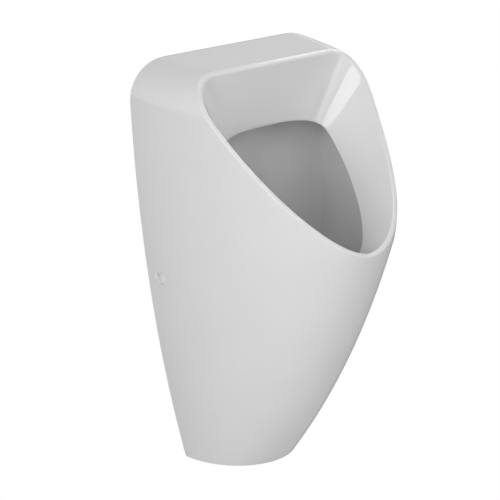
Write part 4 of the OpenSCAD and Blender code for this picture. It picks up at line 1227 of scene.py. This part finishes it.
class URINAL_OT_outlet(bpy.types.Operator):
    """Makes the outlet fitting, strainer, immersion tube, bottle trap, waste pipe, nuts and seals"""

    bl_idname = "urinal.outlet"
    bl_label = "Outlet And Trap"
    dome_rings = 24
    hole_sides = 32
    tail_thread_share = 0.72
    spigot_thread_share = 0.8

    def execute(self, context):
        sizes = context.scene.urinal_outlet
        self.fitting(sizes)
        self.strainer(sizes)
        self.tube(sizes)
        self.bottle(sizes)
        self.pipe(sizes)
        self.nut("tail_nut", *upright("tail_nut"), sizes.tail_r, sizes.tail_r, sizes)
        self.nut("trap_nut", *upright("trap_nut"), sizes.socket_r, sizes.tail_r, sizes)
        place, wide, long = facing_wall("waste_nut")
        place = place @ Matrix.Translation((0, 0, long)) @ Matrix.Rotation(math.pi, 4, "X")
        self.nut("waste_nut", place, wide, long, sizes.spigot_r, sizes.pipe_r, sizes)
        self.seals(sizes)
        return {"FINISHED"}

    def fitting(self, sizes):
        """A flanged outlet with a long threaded tail."""
        place, wide, long = upright("outlet_fitting")
        bore, r, seat = sizes.tail_r - sizes.wall, sizes.tail_r, long - sizes.flange_t
        slope, soft = sizes.flange_t / 2, 2 * sizes.edge
        profile = rounded([(bore, 0), (r, 0), (r, seat), (wide, seat), (wide, seat + slope / 2, soft),
                           (wide - slope, long, soft), (bore, long, soft)], sizes.edge)
        thread = Thread(r, sizes.pitch / 2, self.tail_thread_share * long, sizes.pitch, sizes.depth)
        add_turned("outlet_fitting", "outlet_tail", profile, place, thread=thread)

    def strainer(self, sizes):
        """A pressed and chromed dome with rings of holes."""
        place, r, long = upright("strainer")
        foot, inner, roof = long - sizes.dome_rise, r - sizes.strainer_foot, long - sizes.dome_t
        arc = [math.pi / 2 * t / self.dome_rings for t in range(self.dome_rings)]
        outer = [Vector((r * math.cos(a), foot + sizes.dome_rise * math.sin(a))) for a in arc]
        under = [Vector((inner * math.cos(a), roof - sizes.dome_crown * (1 - math.sin(a)))) for a in arc]
        profile = (
            [Vector((0, roof))] + under[::-1]
            + rounded([(inner, long / 3, 0), (inner, 0), (r, 0), (r, foot / 2, 0)], sizes.edge)[1:-1]
            + outer + [Vector((0, long))]
        )
        material = finish_for("strainer")
        dome = turned("strainer_dome", profile, place, material)
        hole = [(0, -MM), (sizes.hole_r, -MM), (sizes.hole_r, 2 * long), (0, 2 * long)]
        hole = turned("hole", hole, Matrix.Identity(4), material, self.hole_sides)
        cut(dome, ring_array(hole, place, sizes.hole_spacing, sizes.holes, first=0, rings=3))
        add_piece(soften(dome, sizes.edge / 2), "strainer")

    def tube(self, sizes):
        place, wide, long = upright("immersion_tube")
        r, bore, seat = sizes.dip_r, sizes.dip_r - sizes.dip_wall, long - sizes.dip_flange_t
        profile = rounded([(bore, 0), (r, 0), (r, seat), (wide, seat), (wide, long),
                           (bore, long, 3 * sizes.edge)], sizes.edge)
        add_turned("immersion_tube", "dip_tube", profile, place)

    def bottle(self, sizes):
        """A blow moulded bottle with a threaded neck and a threaded outlet at the back."""
        low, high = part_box("trap_body")
        r = high.x
        place = Matrix.Translation((0, low.y + r, low.z))
        long, wall, neck, cone = high.z - low.z, sizes.wall, sizes.socket_r, sizes.cone_rise
        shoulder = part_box("waste_pipe")[1].z - low.z - sizes.shoulder_drop
        top = shoulder + sizes.shoulder_h
        waist, soft = r - sizes.edge, 6 * sizes.edge
        outer = rounded([
            (0, 0, 0), (sizes.foot_r, 0, soft), (r, cone, soft), (waist, cone + wall),
            (waist, shoulder - wall), (r, shoulder - wall / 2), (r, shoulder, soft), (neck, top, soft / 2),
            (neck, long), (0, long, 0),
        ], sizes.edge)
        thread = Thread(neck, top + sizes.pitch / 2, long, sizes.pitch, sizes.depth)
        bottle = turned("bottle", outer, place, finish_for("trap_body"), thread=thread)
        spigot, spigot_r, seal_long = facing_wall("waste_seal")
        spigot = spigot @ Matrix.Translation((0, 0, seal_long)) @ OFF_GRID
        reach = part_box("waste_seal")[0].y - (low.y + r)
        inside_end = reach - r / 2
        tail = rounded([(0, 0, 0), (spigot_r, 0), (spigot_r, inside_end, 0), (0, inside_end, 0)], sizes.edge)
        thread = Thread(spigot_r, 0, self.spigot_thread_share * (reach - r), sizes.pitch, sizes.depth)
        cut_turned(bottle, "tail", tail, spigot, "UNION", thread=thread)
        bore = sizes.tail_r + sizes.fit
        inner = rounded([
            (0, wall, 0), (sizes.foot_r - wall, wall), (r - wall, cone), (r - wall, shoulder - wall),
            (bore, shoulder - wall), (bore, long + MM, 0), (0, long + MM, 0)], 2 * sizes.edge)
        cut_turned(bottle, "inside", inner, place @ OFF_GRID)
        cut_turned(bottle, "bore", rod(sizes.pipe_r - wall, -MM, inside_end + MM), spigot)
        add_piece(bottle, "trap_body")

    def pipe(self, sizes):
        """The waste pipe, with a chamfered end, a bead at the wall and a flange in its nut."""
        place, wide, long = facing_wall("waste_pipe")
        r, wall, soft = sizes.pipe_r, sizes.wall, 2 * sizes.edge
        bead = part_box("waste_pipe")[1].y + sizes.bead_from
        bead_r, bead_end, seat = r + sizes.bead_out, bead + wall, long - wall
        profile = rounded([
            (r - wall, 0), (r - wall / 2, 0), (r, 2 * wall), (r, bead), (bead_r, bead, soft),
            (bead_r, bead_end, soft), (r, bead_end), (r, seat), (wide, seat), (wide, long),
            (r - wall, long),
        ], sizes.edge)
        add_turned("waste_pipe", "waste_tube", profile, place)

    def nut(self, node, place, wide, long, thread_r, bore, sizes):
        """A moulded nut with finger ribs round it."""
        r, near, far = wide - sizes.rib_out, thread_r + sizes.fit / 3, bore + sizes.fit / 3
        lip, soft = long - sizes.nut_lip, 2 * sizes.edge
        inside = [(far, long), (far, lip), (near, lip)] if near > far else [(far, long)]
        profile = rounded([(near, 0), (r, 0, soft), (r, long, soft)] + inside, sizes.edge)
        material = finish_for(node)
        nut = turned(node.replace("nut", "ring"), profile, place, material)
        half, out, into = sizes.rib_w / 2, sizes.rib_out, sizes.rib_out / 2
        outline = rounded([
            (-into, -half, 0), (out, -half, half / 2), (out, half, half / 2), (-into, half, 0)])
        inset = Matrix.Translation((0, 0, sizes.edge))
        rib = soften(straight("rib", outline, long - soft, inset, material), sizes.edge)
        cut(nut, ring_array(rib, place, r, sizes.ribs, first=1, rings=1), "UNION")
        add_piece(nut, node)

    def seals(self, sizes):
        """Rubber rings. The tube's seal has two lips that slide in the tail."""
        for node, name, bore in (
            ("outlet_gasket", "outlet_washer", sizes.outlet_r),
            ("tail_gasket", "tail_washer", sizes.tail_r + sizes.fit),
            ("trap_seal", "trap_washer", sizes.tail_r),
        ):
            place, r, long = upright(node)
            add_turned(node, name, sleeve(bore, r, long), place)
        place, r, long = facing_wall("waste_seal")
        profile = sleeve(sizes.pipe_r - sizes.wall, r, long)
        add_turned("waste_seal", "waste_washer", profile, place)
        place, r, long = upright("tube_seal")
        waist, bore = r - sizes.lip, sizes.dip_r
        profile = rounded([(bore, 0), (waist, 0), (r, long / 5), (waist, 0.4 * long), (waist, 0.6 * long),
                           (r, 0.8 * long), (waist, long), (bore, long)], sizes.edge / 2)
        add_turned("tube_seal", "tube_ring", profile, place)


class URINAL_OT_finishes(bpy.types.Operator):
    """Gives the frame's own pieces their finishes"""

    bl_idname = "urinal.finishes"
    bl_label = "Finishes"

    def execute(self, context):
        for name, node in frame["nodes"].items():
            node.data.materials.clear()
            node.data.materials.append(finish_for(name))
        return {"FINISHED"}


def direction(turn, rise):
    """The way to a place at a turn to the right of the front and a rise above level."""
    return Vector((math.sin(turn) * math.cos(rise), -math.cos(turn) * math.cos(rise), math.sin(rise)))


# Soft boxes round the object, all at one distance from one point: turn and rise in degrees,
# width and height as shares of a whole box, and share of full power
SOFT_BOXES = {
    "left_key": (-72, 22, 1.8, 0.8, 1.32),
    "left_low": (-80, 0, 1, 0.5, 0.12),
    "front_left_upper": (-45, 40, 1, 1, 0.268),
    "front": (-20, 15, 1, 1, 0.126),
    "front_low": (-20, -3, 1, 0.6, 0.149),
    "front_upper": (10, 40, 1, 1, 0.371),
    "right": (45, 15, 1, 1, 0.381),
    "rim_light": (80, 52, 0.4, 0.4, 0.35),
    "right_back": (120, 40, 1, 1, 0.2),
    "top": (0, 90, 0.5, 0.5, 0.26),
}
LIGHT_TARGET = Vector((0, -0.15, -0.15))
FLOOR_HALF = 6.0


class URINAL_OT_stage(bpy.types.Operator):
    """Sets the pale floor, the soft studio light and the camera"""

    bl_idname = "urinal.stage"
    bl_label = "Studio"
    # Reach of the point that the camera's aim is measured from, as a share of the height
    middle_share = 0.3

    def execute(self, context):
        look = context.scene.urinal_stage
        self.set_camera(context, look)
        self.set_world(context, look)
        self.set_lights(look)
        self.add_floor(look)
        context.scene.view_settings.view_transform = "Standard"
        return {"FINISHED"}

    def set_camera(self, context, look):
        back = direction(look.azimuth, look.elevation)
        right = Vector((math.cos(look.azimuth), math.sin(look.azimuth), 0))
        up = back.cross(right)
        high = context.scene.urinal_china.body_h
        middle = Vector((0, -self.middle_share * high, BASE_Z + high / 2))
        aim = middle + look.right * right + look.up * up
        data = bpy.data.cameras.new("camera")
        data.lens = look.lens
        camera = bpy.data.objects.new("camera", data)
        turn = Matrix((right, up, back)).transposed().to_4x4()
        camera.matrix_world = Matrix.Translation(aim + look.distance * back) @ turn
        context.scene.collection.objects.link(camera)
        context.scene.camera = camera

    def set_world(self, context, look):
        """White to the camera, to mirrors and through glass, and a dim even light to all else."""
        world = bpy.data.worlds.new("studio")
        world.use_nodes = True
        tree = world.node_tree
        tree.nodes.clear()
        ray = add_node(tree, "ShaderNodeLightPath").outputs
        seen = ray["Is Camera Ray"]
        for kind in ("Is Transmission Ray", "Is Glossy Ray"):
            seen = add_node(tree, "ShaderNodeMath", {0: seen, 1: ray[kind]}, operation="MAXIMUM")
        dim = add_node(tree, "ShaderNodeBackground", {"Color": linear("#FFFFFF"), "Strength": look.ambient})
        white = add_node(tree, "ShaderNodeBackground", {"Color": (*look.backdrop, 1), "Strength": 1.0})
        both = add_node(tree, "ShaderNodeMixShader", {0: seen, 1: dim, 2: white})
        add_node(tree, "ShaderNodeOutputWorld", {"Surface": both})
        context.scene.world = world

    def set_lights(self, look):
        for name, (turn, rise, wide, high, power) in SOFT_BOXES.items():
            way = direction(math.radians(turn), math.radians(rise))
            data = bpy.data.lights.new(name, "AREA")
            data.shape = "RECTANGLE"
            data.size, data.size_y = wide * look.box_size, high * look.box_size
            data.energy = power * look.box_power
            lamp = bpy.data.objects.new(name, data)
            facing = way.to_track_quat("Z", "Y").to_matrix().to_4x4()
            lamp.matrix_world = Matrix.Translation(LIGHT_TARGET + look.box_distance * way) @ facing
            bpy.context.scene.collection.objects.link(lamp)

    def add_floor(self, look):
        """A pale floor, as white to the camera as the backdrop."""
        z = BASE_Z - look.floor_drop
        corners = [(x * FLOOR_HALF, y * FLOOR_HALF, z) for x, y in ((-1, -1), (1, -1), (1, 1), (-1, 1))]
        material, tree = new_material("pale_floor")
        ray = add_node(tree, "ShaderNodeLightPath").outputs
        diffuse = add_node(tree, "ShaderNodeBsdfDiffuse", {"Color": (*look.floor, 1)})
        white = add_node(tree, "ShaderNodeEmission", {"Color": (*look.backdrop, 1), "Strength": 1.0})
        both = add_node(tree, "ShaderNodeMixShader", {0: ray["Is Camera Ray"], 1: diffuse, 2: white})
        add_node(tree, "ShaderNodeOutputMaterial", {"Surface": both})
        mesh_object("floor", corners, [(0, 1, 2, 3)], material)


class URINAL_PT_panel(bpy.types.Panel):
    """Lists the steps that build the urinal"""

    bl_label = "Wall Hung Urinal"
    bl_idname = "URINAL_PT_panel"
    bl_space_type = "VIEW_3D"
    bl_region_type = "UI"
    bl_category = "Urinal"

    def draw(self, context):
        for operator in OPERATORS:
            self.layout.operator(operator.bl_idname)
        for name, group in GROUPS.items():
            for size in group.__annotations__:
                self.layout.prop(getattr(context.scene, name), size)


OPERATORS = (URINAL_OT_finishes, URINAL_OT_china, URINAL_OT_fixings, URINAL_OT_inlet, URINAL_OT_outlet,
             URINAL_OT_stage)
GROUPS = {
    "urinal_china": ChinaSizes,
    "urinal_fixings": FixingSizes,
    "urinal_inlet": InletSizes,
    "urinal_outlet": OutletSizes,
    "urinal_finish": FinishColours,
    "urinal_stage": StageLook,
}
CLASSES = (*GROUPS.values(), *OPERATORS, URINAL_PT_panel)


def register():
    for cls in CLASSES:
        bpy.utils.register_class(cls)
    for name, group in GROUPS.items():
        setattr(bpy.types.Scene, name, PointerProperty(type=group))


def unregister():
    for name in reversed(GROUPS):
        delattr(bpy.types.Scene, name)
    for cls in reversed(CLASSES):
        bpy.utils.unregister_class(cls)


def main():
    register()
    bpy.ops.urinal.finishes()
    bpy.ops.urinal.china()
    bpy.ops.urinal.fixings()
    bpy.ops.urinal.inlet()
    bpy.ops.urinal.outlet()
    bpy.ops.urinal.stage()


if __name__ == "__main__":
    main()
